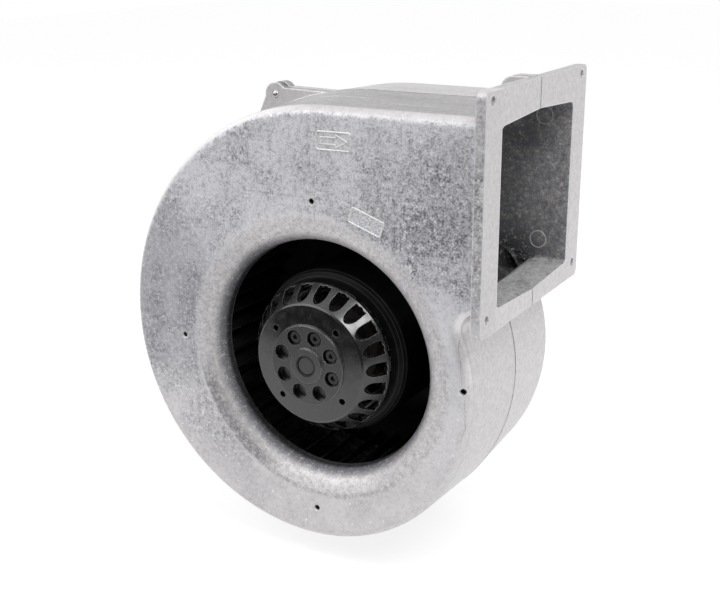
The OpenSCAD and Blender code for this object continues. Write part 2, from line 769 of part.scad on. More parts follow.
module rotor_cup() color("#2a2a2c") spin() difference() {
    rotate_extrude() {
        difference() {
            union() {
                polygon([
                    [cap_neck_r - 2 * neck_step, cup_front], [cup_r - cup_round, cup_front],
                    [cup_r, cup_front + cup_round], [cup_r, impeller_back - cup_wall],
                    [cup_r + cup_flange_w, impeller_back - cup_wall], [cup_r + cup_flange_w, impeller_back],
                    [cup_r, impeller_back], [cup_r, cup_back], [cap_neck_r - 2 * neck_step, cup_back]
                ]);
                translate([cup_r - cup_round, cup_front + cup_round]) circle(r = cup_round);
            }
            polygon([
                [0, cup_front + cup_wall], [cup_in_r - cup_round, cup_front + cup_wall],
                [cup_in_r, cup_front + cup_wall + cup_round], [cup_in_r, cup_back + past],
                [0, cup_back + past]
            ]);
        }
    }
    translate([0, 0, cup_front - past])
        cylinder(h = cup_wall + 2 * past, r = cap_neck_r - neck_step + seat_gap);
    ring_of(impeller_screw_count, impeller_screw_pitch_r) translate([0, 0, impeller_back - cup_wall - past])
        cylinder(h = cup_wall + 2 * past, r = impeller_screw_r + seat_gap);
}

module cage_bars(r) ring_of(bar_count, bar_pitch_r)
    translate([0, 0, stack_front - past]) cylinder(h = stack_len + 2 * past, r = r);

module rotor_core() color("dimgray") spin() difference() {
    tube(stack_front, stack_end, cup_in_r - seat_gap, rotor_in_r);
    cage_bars(bar_r + seat_gap);
}

module rotor_cage() color("silver") spin() {
    for (z = [stack_front - cage_ring_w, stack_end])
        tube(z, z + cage_ring_w, bar_pitch_r + bar_r + bar_wall, bar_pitch_r - bar_r - bar_wall / 2);
    cage_bars(bar_r);
}

// One vent slot, cut along the axis: round towards the cap face and straight at the rim
module vent_slot() {
    inner = cap_face_r + slot_margin + slot_w / 2;
    depth = cap_face + past + cup_front - neck_seat - bite;
    translate([inner, 0, -cap_face - past]) linear_extrude(height = depth) {
        circle(d = slot_w);
        translate([0, -slot_w / 2]) square([cap_rim_r - slot_margin - inner, slot_w]);
    }
}

// Outer and inner outline of the end cap, turned about the axis
module cap_section() {
    spigot = cap_neck_r - neck_step;
    bore = cap_neck_r - neck_wall;
    seat = cup_front - neck_seat;
    inside = -cap_face + cap_wall;
    cone = -cap_face + shoulder_drop;
    polygon([
        [shaft_r + seat_gap, cap_hub_face], [cap_hub_r - cap_chamfer, cap_hub_face],
        [cap_hub_r, cap_hub_face + cap_chamfer], [cap_hub_r, cap_disc_face],
        [cap_disc_r - cap_chamfer, cap_disc_face], [cap_disc_r, cap_disc_face + cap_chamfer],
        [cap_disc_r, -cap_face - cap_fall], [cap_face_r - cap_chamfer, -cap_face],
        [cap_face_r + cap_chamfer / 2, -cap_face + cap_chamfer], [cap_rim_r, cap_rim - rim_edge],
        [cap_rim_r, cap_rim], [cap_neck_r, cap_rim], [cap_neck_r, cup_front], [spigot, cup_front],
        [spigot, cup_front + cup_wall], [spigot - neck_wall, cup_front + cup_wall],
        [spigot - neck_wall, seat], [bore, seat], [bore, cone + (bore - cap_face_r) * shoulder_fall],
        [cap_face_r + (inside - cone) / shoulder_fall, inside], [cap_disc_r, inside],
        [cap_disc_r - neck_step, cap_wall], [cap_hub_r, cap_wall],
        [shaft_r + race_share * bearing_half, bearing_front], [shaft_r + seat_gap, bearing_front]
    ]);
}

// The floors of the recesses that hold a hub screw
module hub_screw_places() for (i = [0:hub_screw_count - 1])
    rotate([0, 0, -i * 360 / recess_count])
        translate([recess_pitch_r, 0, cap_disc_face + recess_depth]) children();

module rotor_end_cap() color("#1c1c1e") spin() difference() {
    rotate_extrude() cap_section();
    for (i = [0:slot_count - 1]) rotate([0, 0, slot_turn + i * 360 / slot_count]) vent_slot();
    ring_of(recess_count, recess_pitch_r) translate([0, 0, cap_disc_face - past])
        cylinder(h = recess_depth + past, r = recess_r);
    hub_screw_places() translate([0, 0, -past])
        cylinder(h = cap_face + 2 * cap_wall, r = hub_screw_r + screw_play);
    rotate([0, 0, 180 / recess_count]) ring_of(pull_count, pull_pitch_r)
        translate([0, 0, -cap_face - cap_fall - past])
            cylinder(h = cap_fall + cap_wall + 2 * past, r = pull_r);
}

module hub_screws() color("#262628") spin() hub_screw_places() mirror([0, 0, 1])
    socket_screw(hub_screw_r, cap_face + cap_wall, hub_head_r, recess_depth - hub_head_sink);

module impeller_back_plate() color("#2e2e30") spin() difference() {
    tube(impeller_back, impeller_back + impeller_sheet, impeller_r, cup_r + seat_gap);
    ring_of(impeller_screw_count, impeller_screw_pitch_r) translate([0, 0, impeller_back - past])
        cylinder(h = impeller_sheet + 2 * past, r = impeller_screw_r + screw_play);
}

module impeller_front_ring() color("#2e2e30") spin()
    tube(impeller_front, impeller_front + impeller_sheet, impeller_r, blade_in_r - impeller_edge);

// Plan of a blade: an arc that leaves the inner edge straight out and bends into the turn
module blade_plan() translate([blade_in_r, blade_curve_r]) intersection() {
    difference() {
        circle(r = blade_curve_r + blade_t / 2);
        circle(r = blade_curve_r - blade_t / 2);
    }
    polygon([[0, 0], 2 * blade_curve_r * along(-90), 2 * blade_curve_r * along(-90 + blade_turn / 2),
        2 * blade_curve_r * along(-90 + blade_turn)]);
}

module impeller_blades() color("#2e2e30") spin()
    for (i = [0:blade_count - 1]) rotate([0, 0, i * 360 / blade_count])
        translate([0, 0, impeller_front + impeller_sheet])
            linear_extrude(height = blade_len) blade_plan();

module impeller_screws() color("gray") spin()
    ring_of(impeller_screw_count, impeller_screw_pitch_r) translate([0, 0, impeller_back + impeller_sheet])
        socket_screw(impeller_screw_r, cup_wall + impeller_sheet, impeller_head_r, impeller_head_h);

front_housing();
rear_housing();
housing_screws();
motor_flange();
motor_flange_screws();
motor_flange_washers();
cable_grommet();
bearing_tube();
stator_core();
front_end_plate();
rear_end_plate();
stator_windings();
front_bearing_outer_race();
front_bearing_inner_race();
front_bearing_balls();
rear_bearing_outer_race();
rear_bearing_inner_race();
rear_bearing_balls();
preload_washer();
tube_retaining_ring();
shaft_retaining_ring();
shaft();
rotor_cup();
rotor_core();
rotor_cage();
rotor_end_cap();
hub_screws();
impeller_back_plate();
impeller_front_ring();
impeller_blades();
impeller_screws();
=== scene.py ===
# %% [markdown]
# A cast-aluminium centrifugal fan, dressed for a studio picture.
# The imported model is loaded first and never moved: it gives every piece its true size and place,
# so what is added here only has to sit on it.

# %% Load the frame
import math
from types import SimpleNamespace

import bmesh
import bpy
from mathutils import Matrix, Vector
from mathutils import noise as wobble
from mathutils.bvhtree import BVHTree


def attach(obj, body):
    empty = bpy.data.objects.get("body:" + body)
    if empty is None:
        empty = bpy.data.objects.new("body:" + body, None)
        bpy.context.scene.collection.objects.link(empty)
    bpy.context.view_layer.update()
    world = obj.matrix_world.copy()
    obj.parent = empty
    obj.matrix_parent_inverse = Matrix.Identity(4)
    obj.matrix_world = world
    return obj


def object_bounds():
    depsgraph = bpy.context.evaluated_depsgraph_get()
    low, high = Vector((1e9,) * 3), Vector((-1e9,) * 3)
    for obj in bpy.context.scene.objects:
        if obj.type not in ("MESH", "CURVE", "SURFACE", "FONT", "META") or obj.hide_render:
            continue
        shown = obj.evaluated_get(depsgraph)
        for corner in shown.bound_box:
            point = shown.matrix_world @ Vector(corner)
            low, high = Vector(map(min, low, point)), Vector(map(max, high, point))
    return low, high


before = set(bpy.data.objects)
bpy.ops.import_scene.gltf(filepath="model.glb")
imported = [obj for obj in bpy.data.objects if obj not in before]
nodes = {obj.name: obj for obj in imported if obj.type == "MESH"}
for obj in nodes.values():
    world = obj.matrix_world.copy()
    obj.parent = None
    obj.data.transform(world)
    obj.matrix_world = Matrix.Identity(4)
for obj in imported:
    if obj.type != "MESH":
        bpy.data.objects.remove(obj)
cad_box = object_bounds()
print("loaded", len(nodes), "nodes, box", [[round(v, 4) for v in corner] for corner in cad_box])

# %% [markdown]
# The camera stands in front of the inlet, above it and to the outlet side.
# Its place and lens were solved from the four tapped inlet holes and the corners of the outlet flange,
# so it is given as a turn of the object in front of the lens and an offset, both in the part's own frame.

# %% Camera
IMAGE_W = 720
FOCAL_PX = 1124.84
SENSOR_MM = 36.0
TURN = (0.360512, 0.500810, 0.172834)
OFFSET = Vector((-0.027943, 0.037474, 0.688157))
LOOK_FROM_FRONT = Matrix(((1, 0, 0), (0, 0, -1), (0, 1, 0)))
LENS_TO_CAMERA = Matrix(((1, 0, 0), (0, -1, 0), (0, 0, -1)))

turned = (Matrix.Rotation(TURN[2], 3, "Z") @ Matrix.Rotation(TURN[1], 3, "Y")
          @ Matrix.Rotation(TURN[0], 3, "X"))
to_lens = turned @ LOOK_FROM_FRONT
camera_data = bpy.data.cameras.new("camera")
camera_data.sensor_width = SENSOR_MM
camera_data.lens = FOCAL_PX / IMAGE_W * SENSOR_MM
camera = bpy.data.objects.new("camera", camera_data)
bpy.context.scene.collection.objects.link(camera)
pose = (to_lens.transposed() @ LENS_TO_CAMERA).to_4x4()
pose.translation = -(to_lens.transposed() @ OFFSET)
camera.matrix_world = pose
bpy.context.scene.camera = camera
print("camera at", tuple(round(v, 4) for v in camera.location))

# %% [markdown]
# Every finish below is a small tree of shader nodes.
# Wiring nodes one by one hides the idea of a finish, so a few helpers do the wiring:
# `put` adds a node and fills its sockets with numbers or with other nodes' outputs,
# and the rest are the handful of operations that the finishes share.

# %% Node helpers
def put(tree, kind, settings=None, **sockets):
    made = tree.nodes.new("ShaderNode" + kind)
    for key, value in (settings or {}).items():
        setattr(made, key, value)
    for key, value in sockets.items():
        fill(tree, made.inputs[key.replace("_", " ")], value)
    return made


def fill(tree, socket, value):
    if isinstance(value, bpy.types.NodeSocket):
        tree.links.new(value, socket)
    else:
        socket.default_value = value


def calc(tree, operation, *values):
    made = tree.nodes.new("ShaderNodeMath")
    made.operation = operation
    for socket, value in zip(made.inputs, values):
        fill(tree, socket, value)
    return made.outputs[0]


def on_vectors(tree, operation, one, two):
    made = put(tree, "VectorMath", {"operation": operation})
    fill(tree, made.inputs[0], one)
    fill(tree, made.inputs[1], two)
    return made


def noise(tree, place, scale, detail=2.0, roughness=0.5, distortion=0.0):
    made = put(tree, "TexNoise", Vector=place, Scale=scale, Detail=detail, Roughness=roughness,
               Distortion=distortion)
    return made.outputs[0]


def blend_colour(tree, factor, a, b):
    made = tree.nodes.new("ShaderNodeMix")
    made.data_type = "RGBA"
    fill(tree, made.inputs[0], factor)
    fill(tree, made.inputs[6], a)
    fill(tree, made.inputs[7], b)
    return made.outputs[2]


print("node helpers ready")

# %% [markdown]
# A finish says where it changes with masks: numbers that are 1 in one place and 0 in another.
# Masks come from soft steps, and they are multiplied, added or compared to make new ones.
# A finish is then a stack of coats, each with a mask that says how much of it there is.

# %% Masks and coats
def chain(tree, operation, values):
    result = values[0]
    for value in values[1:]:
        result = calc(tree, operation, result, value)
    return result


def times(tree, *values):
    return chain(tree, "MULTIPLY", values)


def total(tree, *values):
    return chain(tree, "ADD", values)


def largest(tree, *values):
    return chain(tree, "MAXIMUM", values)


def less(tree, value, taken):
    return calc(tree, "SUBTRACT", value, taken)


def outside(tree, mask):
    return less(tree, 1.0, mask)


def unsigned(tree, value):
    return calc(tree, "ABSOLUTE", value)


def ease(tree, value, first, last, to_first=0.0, to_last=1.0):
    """A soft step from to_first to to_last, as value goes from first to last, up or down."""
    made = put(tree, "MapRange", {"interpolation_type": "SMOOTHSTEP"}, Value=value)
    for key, number in (("From Min", first), ("From Max", last), ("To Min", to_first), ("To Max", to_last)):
        made.inputs[key].default_value = number
    return made.outputs[0]


def band(tree, value, rise, fall):
    """1 between two soft steps; each step is a pair, where it starts and where it is complete."""
    return times(tree, ease(tree, value, *rise), ease(tree, value, *fall))


def spot(tree, place, centre, inner, outer):
    """1 near a point of the piece, 0 beyond the outer radius."""
    away = on_vectors(tree, "DISTANCE", place, centre).outputs["Value"]
    return ease(tree, away, inner, outer, 1.0, 0.0)


def coated(tree, tone, coats):
    """Lays coats over a tone in order; each is how much of it there is, and its colour."""
    for amount, colour in coats:
        tone = blend_colour(tree, amount, tone, colour)
    return tone


print("mask helpers ready")

# %% [markdown]
# A finish starts as one Principled shader, with places given in millimetres on the piece itself.
# Places that belong to the piece keep the grain still when the rotor turns.
# Edges are rounded in the normal only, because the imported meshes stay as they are.
# Edge radii and the depths of relief are in metres, as Blender has them.

# %% Start of a finish
MM = 0.001
BEVEL_SAMPLES = 4
EDGE_TURN = (0.995, 0.90)
FINE_EDGE = 0.0003


def start_finish(name, **sockets):
    material = bpy.data.materials.new(name)
    material.use_nodes = True
    tree = material.node_tree
    shader = tree.nodes["Principled BSDF"]
    for key, value in sockets.items():
        shader.inputs[key.replace("_", " ")].default_value = value
    own = put(tree, "TexCoord")
    place = put(tree, "VectorMath", {"operation": "SCALE"}, Vector=own.outputs["Object"], Scale=1.0 / MM)
    return material, tree, shader, place.outputs[0], own.outputs["Normal"]


def feed(tree, shader, **sockets):
    for key, value in sockets.items():
        tree.links.new(value, shader.inputs[key.replace("_", " ")])


def split(tree, vector):
    return put(tree, "SeparateXYZ", Vector=vector).outputs


def distance(tree, one, two):
    return calc(tree, "SQRT", total(tree, times(tree, one, one), times(tree, two, two)))


def grey(level, cool=0.0):
    return (level * (1 - 0.4 * cool), level * (1 - 0.6 * cool), level * (1 + cool), 1.0)


def warm(level):
    return (level, level * 0.970, level * 0.980, 1.0)


def rounded_edges(tree, radius):
    """The normal of the same surface with its edges rounded, and a mask of where those edges are."""
    soft = put(tree, "Bevel", {"samples": BEVEL_SAMPLES}, Radius=radius).outputs[0]
    flat = put(tree, "NewGeometry").outputs["Normal"]
    alike = on_vectors(tree, "DOT_PRODUCT", soft, flat).outputs["Value"]
    return soft, ease(tree, alike, *EDGE_TURN)


def raise_skin(tree, shader, height, depth, normal=None):
    bump = put(tree, "Bump", Height=height, Distance=depth, Strength=1.0)
    if normal is not None:
        tree.links.new(normal, bump.inputs["Normal"])
    feed(tree, shader, Normal=bump.outputs[0])


def paint(finish, *names):
    for name in names:
        mesh = nodes[name].data
        mesh.materials.clear()
        mesh.materials.append(finish)


print("finish helpers ready")

# %% [markdown]
# The housing is a raw die casting.
# Its broad faces keep a dull oxide skin, while the fillets, the drafted walls and the trimmed outlet flange
# are cleaner metal, so the finish first has to know where on the casting it is.
# The mesh could be split by material, but that gives hard borders. Masks let one skin fade into the next.
# Here are the masks of the two openings, with depths and radii in millimetres.

# %% Openings of the casting
SEAM_Y = 60.5
FLANGE_X = 116.0
LIP_R = 92.0
LIP_Y = (17.0, 16.0)
THROAT_R = (80.0, 75.0)
THROAT_Y = ((-2.5, 4.0), (40.0, 30.0))
DUCT_X = ((0.0, 20.0), (FLANGE_X, FLANGE_X - 0.6))
DUCT_Y = ((5.2, 6.0), (117.0, 116.2))
DUCT_Z = ((36.0, 44.0), (154.8, 154.2))
DUCT_FLOOR_Z = (66.0, 58.0)
DEEP_CORNER = ((78.0, 116.0, 48.0), 6.0, 32.0)
DEEP_CORNER_Y = (100.0, 106.0)
DEEP_CORNER_Z = (40.0, 42.0)
REAR_WALL_Y = ((96.0, 104.0), (118.0, 117.0))


def add_openings(tree, zone):
    """The rolled lip and the throat of the inlet, and the inside of the outlet duct."""
    zone.lip = times(tree, ease(tree, zone.axis_r, LIP_R + 2.0, LIP_R - 4.0), ease(tree, zone.y, *LIP_Y))
    zone.throat = times(tree, ease(tree, zone.axis_r, *THROAT_R), band(tree, zone.y, *THROAT_Y))
    hollow = times(tree, band(tree, zone.x, *DUCT_X), band(tree, zone.z, *DUCT_Z),
                   band(tree, zone.y, *DUCT_Y))
    rear_wall = times(tree, ease(tree, zone.face_y, -0.3, -0.6), band(tree, zone.y, *REAR_WALL_Y))
    zone.duct = largest(tree, hollow, rear_wall)
    zone.duct_floor = times(tree, zone.duct, ease(tree, zone.face_z, 0.75, 0.92),
                            ease(tree, zone.z, *DUCT_FLOOR_Z))
    # The deep corner behind the nose of the duct takes painted shade.
    zone.deep = times(tree, ease(tree, zone.y, *DEEP_CORNER_Y), ease(tree, zone.face_y, 0.3, 0.0),
                      ease(tree, zone.z, *DEEP_CORNER_Z), spot(tree, zone.place, *DEEP_CORNER), 0.95)


print("outlet face at x =", FLANGE_X, "mm")

# %% [markdown]
# The outer faces are told apart by depth and by direction, in parts of a unit normal.
# A surface square to the axis is a face, one along the axis is a wall, and the rounded rim lies between.

# %% Faces and walls
FRONT_FACE_Y = (20.0, 14.0)
REAR_FACE_Y = (112.0, 118.0)
FRONT_END_Y = (24.0, 18.0)
RIM_Y = (7.0, 6.0)
WALL_Y = (4.0, 7.0)


def add_faces(tree, zone):
    """The flat front and rear faces with their skin, the drafted walls and the rounded rim."""
    front = times(tree, ease(tree, zone.y, *FRONT_FACE_Y), ease(tree, zone.face_y, -0.5, -0.8))
    rear = times(tree, ease(tree, zone.y, *REAR_FACE_Y), ease(tree, zone.face_y, 0.5, 0.8))
    off_lip = largest(tree, ease(tree, zone.axis_r, LIP_R - 5.0, LIP_R + 3.0, 0.15, 1.0),
                      ease(tree, zone.y, SEAM_Y - 10.0, SEAM_Y))
    zone.skin = times(tree, ease(tree, zone.slope, 0.80, 0.98), largest(tree, front, rear), off_lip)
    zone.wall = times(tree, ease(tree, zone.slope, 0.40, 0.15), ease(tree, zone.y, *WALL_Y),
                      outside(tree, zone.duct))
    zone.rim = times(tree, ease(tree, zone.slope, 0.2, 0.4), ease(tree, zone.y, *RIM_Y),
                     outside(tree, zone.lip))


def cast_zones(tree, place, facing):
    """Masks of the zones of the casting, with the places and directions that they come from."""
    zone = SimpleNamespace(place=place)
    zone.x, zone.y, zone.z = split(tree, place)
    zone.face_x, zone.face_y, zone.face_z = split(tree, facing)
    zone.slope = unsigned(tree, zone.face_y)
    zone.axis_r = distance(tree, zone.x, zone.z)
    zone.bearing = times(tree, calc(tree, "ARCTAN2", zone.z, zone.x), 180.0 / math.pi)
    zone.front = ease(tree, zone.y, *FRONT_END_Y)
    zone.up = ease(tree, zone.face_z, 0.5, 0.8)
    add_openings(tree, zone)
    add_faces(tree, zone)
    return zone


print("joint at y =", SEAM_Y, "mm")

# %% [markdown]
# Where the die was cold the skin has a fine dark mottle, with paler grains between.
# An image of such a skin would repeat and show its edges, so it is made from noise:
# two sizes added together, a third that gathers them in clumps,
# and a fourth, a few centimetres across, that makes some patches colder than others.
# A wide spot at the left of the face is added to the cold, and that spot is painted shade.

# %% Grain and mottle
FINE_GRAIN = (0.80, 3.0, 0.65)
COARSE_GRAIN = (0.30, 3.0, 0.6)
CLUMPS = (0.085, 3.0, 0.6)
PATCHES = (0.030, 3.0, 0.55)
WAVES = (0.24, 3.0, 0.6, 0.6)
COLD_RIGHT = ((76.0, 0.0, 96.0), 8.0, 66.0)
COLD_LOW = ((-70.0, 0.0, -66.0), 4.0, 38.0)
# The spot at the left is painted shade, not a cold place of the die.
LEFT_SHADE_SPOT = ((-116.0, 0.0, 24.0), 26.0, 84.0)
CALM_X = (30.0, 60.0)
CALM_Z = (80.0, 15.0)
SMOOTH_Z = (-95.0, -20.0)


def cast_mottle(tree, zone, cold, clump):
    """How strongly the grain shows: most on cold skin, less low down and beside the outlet."""
    low = ease(tree, zone.z, *SMOOTH_Z, 0.35, 1.0)
    beside_outlet = times(tree, ease(tree, zone.x, *CALM_X), ease(tree, zone.z, *CALM_Z))
    calm = ease(tree, beside_outlet, 0.0, 1.0, 1.0, 0.12)
    on_skin = times(tree, zone.skin, low, calm, total(tree, 0.50, cold),
                    ease(tree, clump, 0.36, 0.62, 0.70, 1.18),
                    ease(tree, zone.y, SEAM_Y, 110.0, 1.0, 0.75))
    return largest(tree, on_skin, times(tree, zone.duct, 0.8), times(tree, zone.throat, 0.7),
                   ease(tree, zone.lip, 0.0, 1.0, 0.18, 0.40))


def cast_skin(tree, zone):
    """The grain of the skin, where it is dark or pale, how cold the die was, and painted shade at the left.
    """
    skin = SimpleNamespace()
    skin.coarse = noise(tree, zone.place, *COARSE_GRAIN)
    skin.patch = noise(tree, zone.place, *PATCHES)
    skin.wave = noise(tree, zone.place, *WAVES)
    fine = noise(tree, zone.place, *FINE_GRAIN)
    skin.grain = total(tree, times(tree, fine, 0.55), times(tree, skin.coarse, 0.45))
    chilled = largest(tree, spot(tree, zone.place, *COLD_RIGHT), spot(tree, zone.place, *COLD_LOW))
    cold = total(tree, times(tree, chilled, 0.62), ease(tree, skin.patch, 0.40, 0.64, 0.0, 0.42))
    skin.mottle = cast_mottle(tree, zone, cold, noise(tree, zone.place, *CLUMPS))
    # The cold of the skin also takes in the wide spot of painted shade at the left.
    skin.cold = total(tree, cold, times(tree, spot(tree, zone.place, *LEFT_SHADE_SPOT), 0.95))
    skin.dark = times(tree, ease(tree, skin.grain, 0.44, 0.64), skin.mottle)
    skin.pale = times(tree, ease(tree, skin.grain, 0.48, 0.34), skin.mottle)
    return skin


# The count takes in the spot of painted shade at the left.
print("cold places of the die:", len((COLD_RIGHT, COLD_LOW, LEFT_SHADE_SPOT)))

# %% [markdown]
# Under the grain each zone has a tone of its own.
# The rounded rim of the face is toned by the way it faces, as painted light: highlight at the upper left
# and below the outlet flange, shade where it faces up and at the left. The flat face is painted darker low
# down, and the front half of the top darker than the rear half, both as painted shade, and the top carries
# painted reflection in streaks along the outlet.
# Each tone is one coat in the stack, so it can be changed alone.

# %% Tones of the metal
REFLECTION_STRETCH = (0.02, 0.22, 0.22)
REFLECTION_STREAKS = (1.0, 3.0, 0.65)
LIT_CORNER_SPOT = ((105.0, 4.0, 30.0), 10.0, 36.0)
FLANGE_EDGE_X = (FLANGE_X - 7.0, FLANGE_X - 5.0)
HALVES_Y = (SEAM_Y - 0.4, SEAM_Y)
FACE_SHADE_Z = (-90.0, 70.0)


def rim_light_and_shade(tree, zone):
    # Painted light on the rim: highlight at the upper left and at a spot below the outlet flange, painted
    # shade where the rim faces up and at the left.
    upper_left_highlight = times(tree, ease(tree, zone.face_x, 0.0, -0.30), ease(tree, zone.face_z, 0.05, 0.35))
    left = times(tree, ease(tree, zone.face_x, -0.55, -0.80), ease(tree, zone.face_z, 0.30, 0.0))
    return coated(tree, warm(0.69), (
        (ease(tree, zone.face_z, 0.05, 0.30), warm(0.58)),
        (upper_left_highlight, warm(0.92)),
        (left, grey(0.30, 0.03)),
        (spot(tree, zone.place, *LIT_CORNER_SPOT), warm(0.95))))


def metal_coats(tree, zone, skin):
    """Rim in painted light and shade, face in painted shade, walls, top in painted shade and reflection,
    flange, cold skin.
    """
    # Painted shade: the flat face is darker low down.
    face_shade_tone = blend_colour(tree, ease(tree, zone.z, *FACE_SHADE_Z), warm(0.65), grey(0.80, 0.03))
    # Painted shade: the front half of the top is darker than the rear half.
    halves = blend_colour(tree, ease(tree, zone.y, *HALVES_Y), warm(0.50), warm(0.67))
    drawn = on_vectors(tree, "MULTIPLY", zone.place, REFLECTION_STRETCH).outputs["Vector"]
    reflection_streak = noise(tree, drawn, *REFLECTION_STREAKS)
    top = times(tree, zone.wall, zone.up)
    return (
        (zone.rim, rim_light_and_shade(tree, zone)),
        (zone.skin, face_shade_tone),
        (times(tree, zone.wall, 0.8), warm(0.59)),
        (top, halves),
        # Painted reflection: dark and pale streaks on the top, drawn out along the outlet.
        (times(tree, top, ease(tree, reflection_streak, 0.48, 0.68, 0.0, 0.32)), grey(0.30, 0.03)),
        (times(tree, top, ease(tree, reflection_streak, 0.44, 0.28, 0.0, 0.40)), grey(0.92)),
        (times(tree, ease(tree, zone.x, *FLANGE_EDGE_X), 0.8), warm(0.61)),
        # Darker where the die was cold, and painted shade at the left of the face.
        (times(tree, skin.cold, zone.skin, 0.66), grey(0.36, 0.05)))


print("streaks drawn out", round(REFLECTION_STRETCH[1] / REFLECTION_STRETCH[0]), "times along the outlet")

# %% [markdown]
# Some tones belong to places that no direction or depth gives away.
# The duct is painted darker towards its deep lower corner, as painted shade.
# The rolled lip has a crescent of painted shade at the lower left, a faint line of painted shade along its
# foot and a band of painted highlight at the bottom.
# They are set by radius and by bearing, in degrees round the axis from the outlet side.

# %% Painted shade and highlights
SHADE_CRESCENT_TURN = ((-174.0, -158.0), (-110.0, -122.0))
SHADE_CRESCENT_R = ((78.0, 85.0), (90.6, 88.6))
FOOT_SHADE_TURN = ((-140.0, -120.0), (-44.0, -60.0))
FOOT_SHADE_R = ((86.0, 88.6), (91.6, 89.4))
LIP_HIGHLIGHT_TURN = ((-116.0, -104.0), (-52.0, -66.0))
LIP_HIGHLIGHT_R = ((77.5, 80.0), (88.6, 86.0))
LIT_LIP_TOP_Z = (58.0, 80.0)
THROAT_HIGHLIGHT_Y = (14.3, 14.9)
SHADE_X = (84.0, 114.0)


def on_lip(tree, zone, bearings, radii):
    return times(tree, band(tree, zone.bearing, *bearings), band(tree, zone.axis_r, *radii), zone.front)


def shade_and_highlight_coats(tree, zone, skin):
    """Painted shade in the duct and the throat, and painted shade and highlight on the lip and the throat's
    end.
    """
    stain_and_shade = total(tree, ease(tree, zone.x, *SHADE_X, 0.70, 0.30),
                  ease(tree, skin.patch, 0.42, 0.62, -0.12, 0.18))
    # Painted shade: a crescent at the lower left of the lip and a faint line along its foot.
    foot_shade_line = times(tree, on_lip(tree, zone, FOOT_SHADE_TURN, FOOT_SHADE_R), 0.36)
    lip_shade = times(tree, largest(tree, on_lip(tree, zone, SHADE_CRESCENT_TURN, SHADE_CRESCENT_R), foot_shade_line),
                 ease(tree, skin.grain, 0.36, 0.62, 0.55, 1.0))
    return (
        # Painted shade: the duct darkens away from the outlet.
        (times(tree, zone.duct, stain_and_shade), grey(0.20, 0.03)),
        # Painted shade: near black in the deep corner.
        (zone.deep, grey(0.03)),
        # Painted shade: the throat of the inlet is darkened.
        (times(tree, zone.throat, 0.85), grey(0.20, 0.06)),
        # Painted highlight: the top of the lip is lighter.
        (times(tree, zone.lip, ease(tree, zone.z, *LIT_LIP_TOP_Z), 0.7), warm(0.78)),
        # Painted shade on the lip.
        (times(tree, lip_shade, 0.80), grey(0.17, 0.05)),
        # Painted highlight: a band at the bottom of the lip.
        (times(tree, on_lip(tree, zone, LIP_HIGHLIGHT_TURN, LIP_HIGHLIGHT_R), 0.40), warm(0.88)),
        # Painted highlight: a thin bright line at the inner end of the throat.
        (times(tree, zone.throat, ease(tree, zone.y, *THROAT_HIGHLIGHT_Y)), grey(0.95)))


# What lies on the lip and in the duct is painted shade and highlight.
print("stains on the lip and in the duct")

# %% [markdown]
# The joint between the halves shows as a line round the casing.
# On top it is a line of painted highlight, with a dark groove beside a crest of painted highlight where the
# flash was trimmed, and elsewhere a dark line.
# Noise along the joint fades it in and out, because trimming is never even.

# %% Tones of the joint
JOINT_WEAR = (0.10, 2.0)
JOINT_HALF_W = (0.62, 0.28)
GROOVE_Y = ((SEAM_Y - 2.5, SEAM_Y - 1.7), (SEAM_Y - 0.3, SEAM_Y - 0.8))
CREST_Y = ((SEAM_Y - 0.3, SEAM_Y), (SEAM_Y + 1.9, SEAM_Y + 1.3))


def joint_coats(tree, zone):
    wear = noise(tree, zone.place, *JOINT_WEAR)
    joint = ease(tree, unsigned(tree, less(tree, zone.y, SEAM_Y)), *JOINT_HALF_W)
    top = times(tree, zone.up, outside(tree, zone.duct))
    groove = times(tree, top, band(tree, zone.y, *GROOVE_Y), ease(tree, wear, 0.40, 0.56, 0.30, 0.85))
    crest = times(tree, top, band(tree, zone.y, *CREST_Y), ease(tree, wear, 0.60, 0.46, 0.20, 0.90))
    dark_line = times(tree, joint, outside(tree, zone.up), ease(tree, wear, 0.38, 0.58, 0.55, 1.0))
    return (
        # Painted highlight: the joint is a bright line where it runs over the top, with a bright crest
        # beside its groove.
        (times(tree, joint, zone.up), grey(0.95)),
        (groove, grey(0.10)),
        (crest, grey(0.98)),
        (dark_line, grey(0.05)))


print("joint line up to", 2 * JOINT_HALF_W[0], "mm wide")

# %% [markdown]
# The last coats are small: grains of the skin, pale flecks that are painted glints, pits, a dark ring of
# painted shade round each tapped hole, and painted highlight on the outer edges. Cell noise gives the
# flecks and pits, which are round.

# %% Small marks
TAP_PITCH_R = 100.0
HOLE_SHADE_R = (2.3, 2.0)
FLECK_CELLS = 0.20
FLECK_R = (0.16, 0.10)
PIT_CELLS = 0.13
PIT_R = (0.075, 0.045)


def hole_distance(tree, zone):
    """Distance from the nearest of the four tapped holes, measured across the axis."""
    wide, high = unsigned(tree, zone.x), unsigned(tree, zone.z)
    outward = less(tree, calc(tree, "MAXIMUM", wide, high), TAP_PITCH_R)
    return distance(tree, outward, calc(tree, "MINIMUM", wide, high))


def cells(tree, place, scale, output="Distance"):
    return put(tree, "TexVoronoi", Vector=place, Scale=scale).outputs[output]


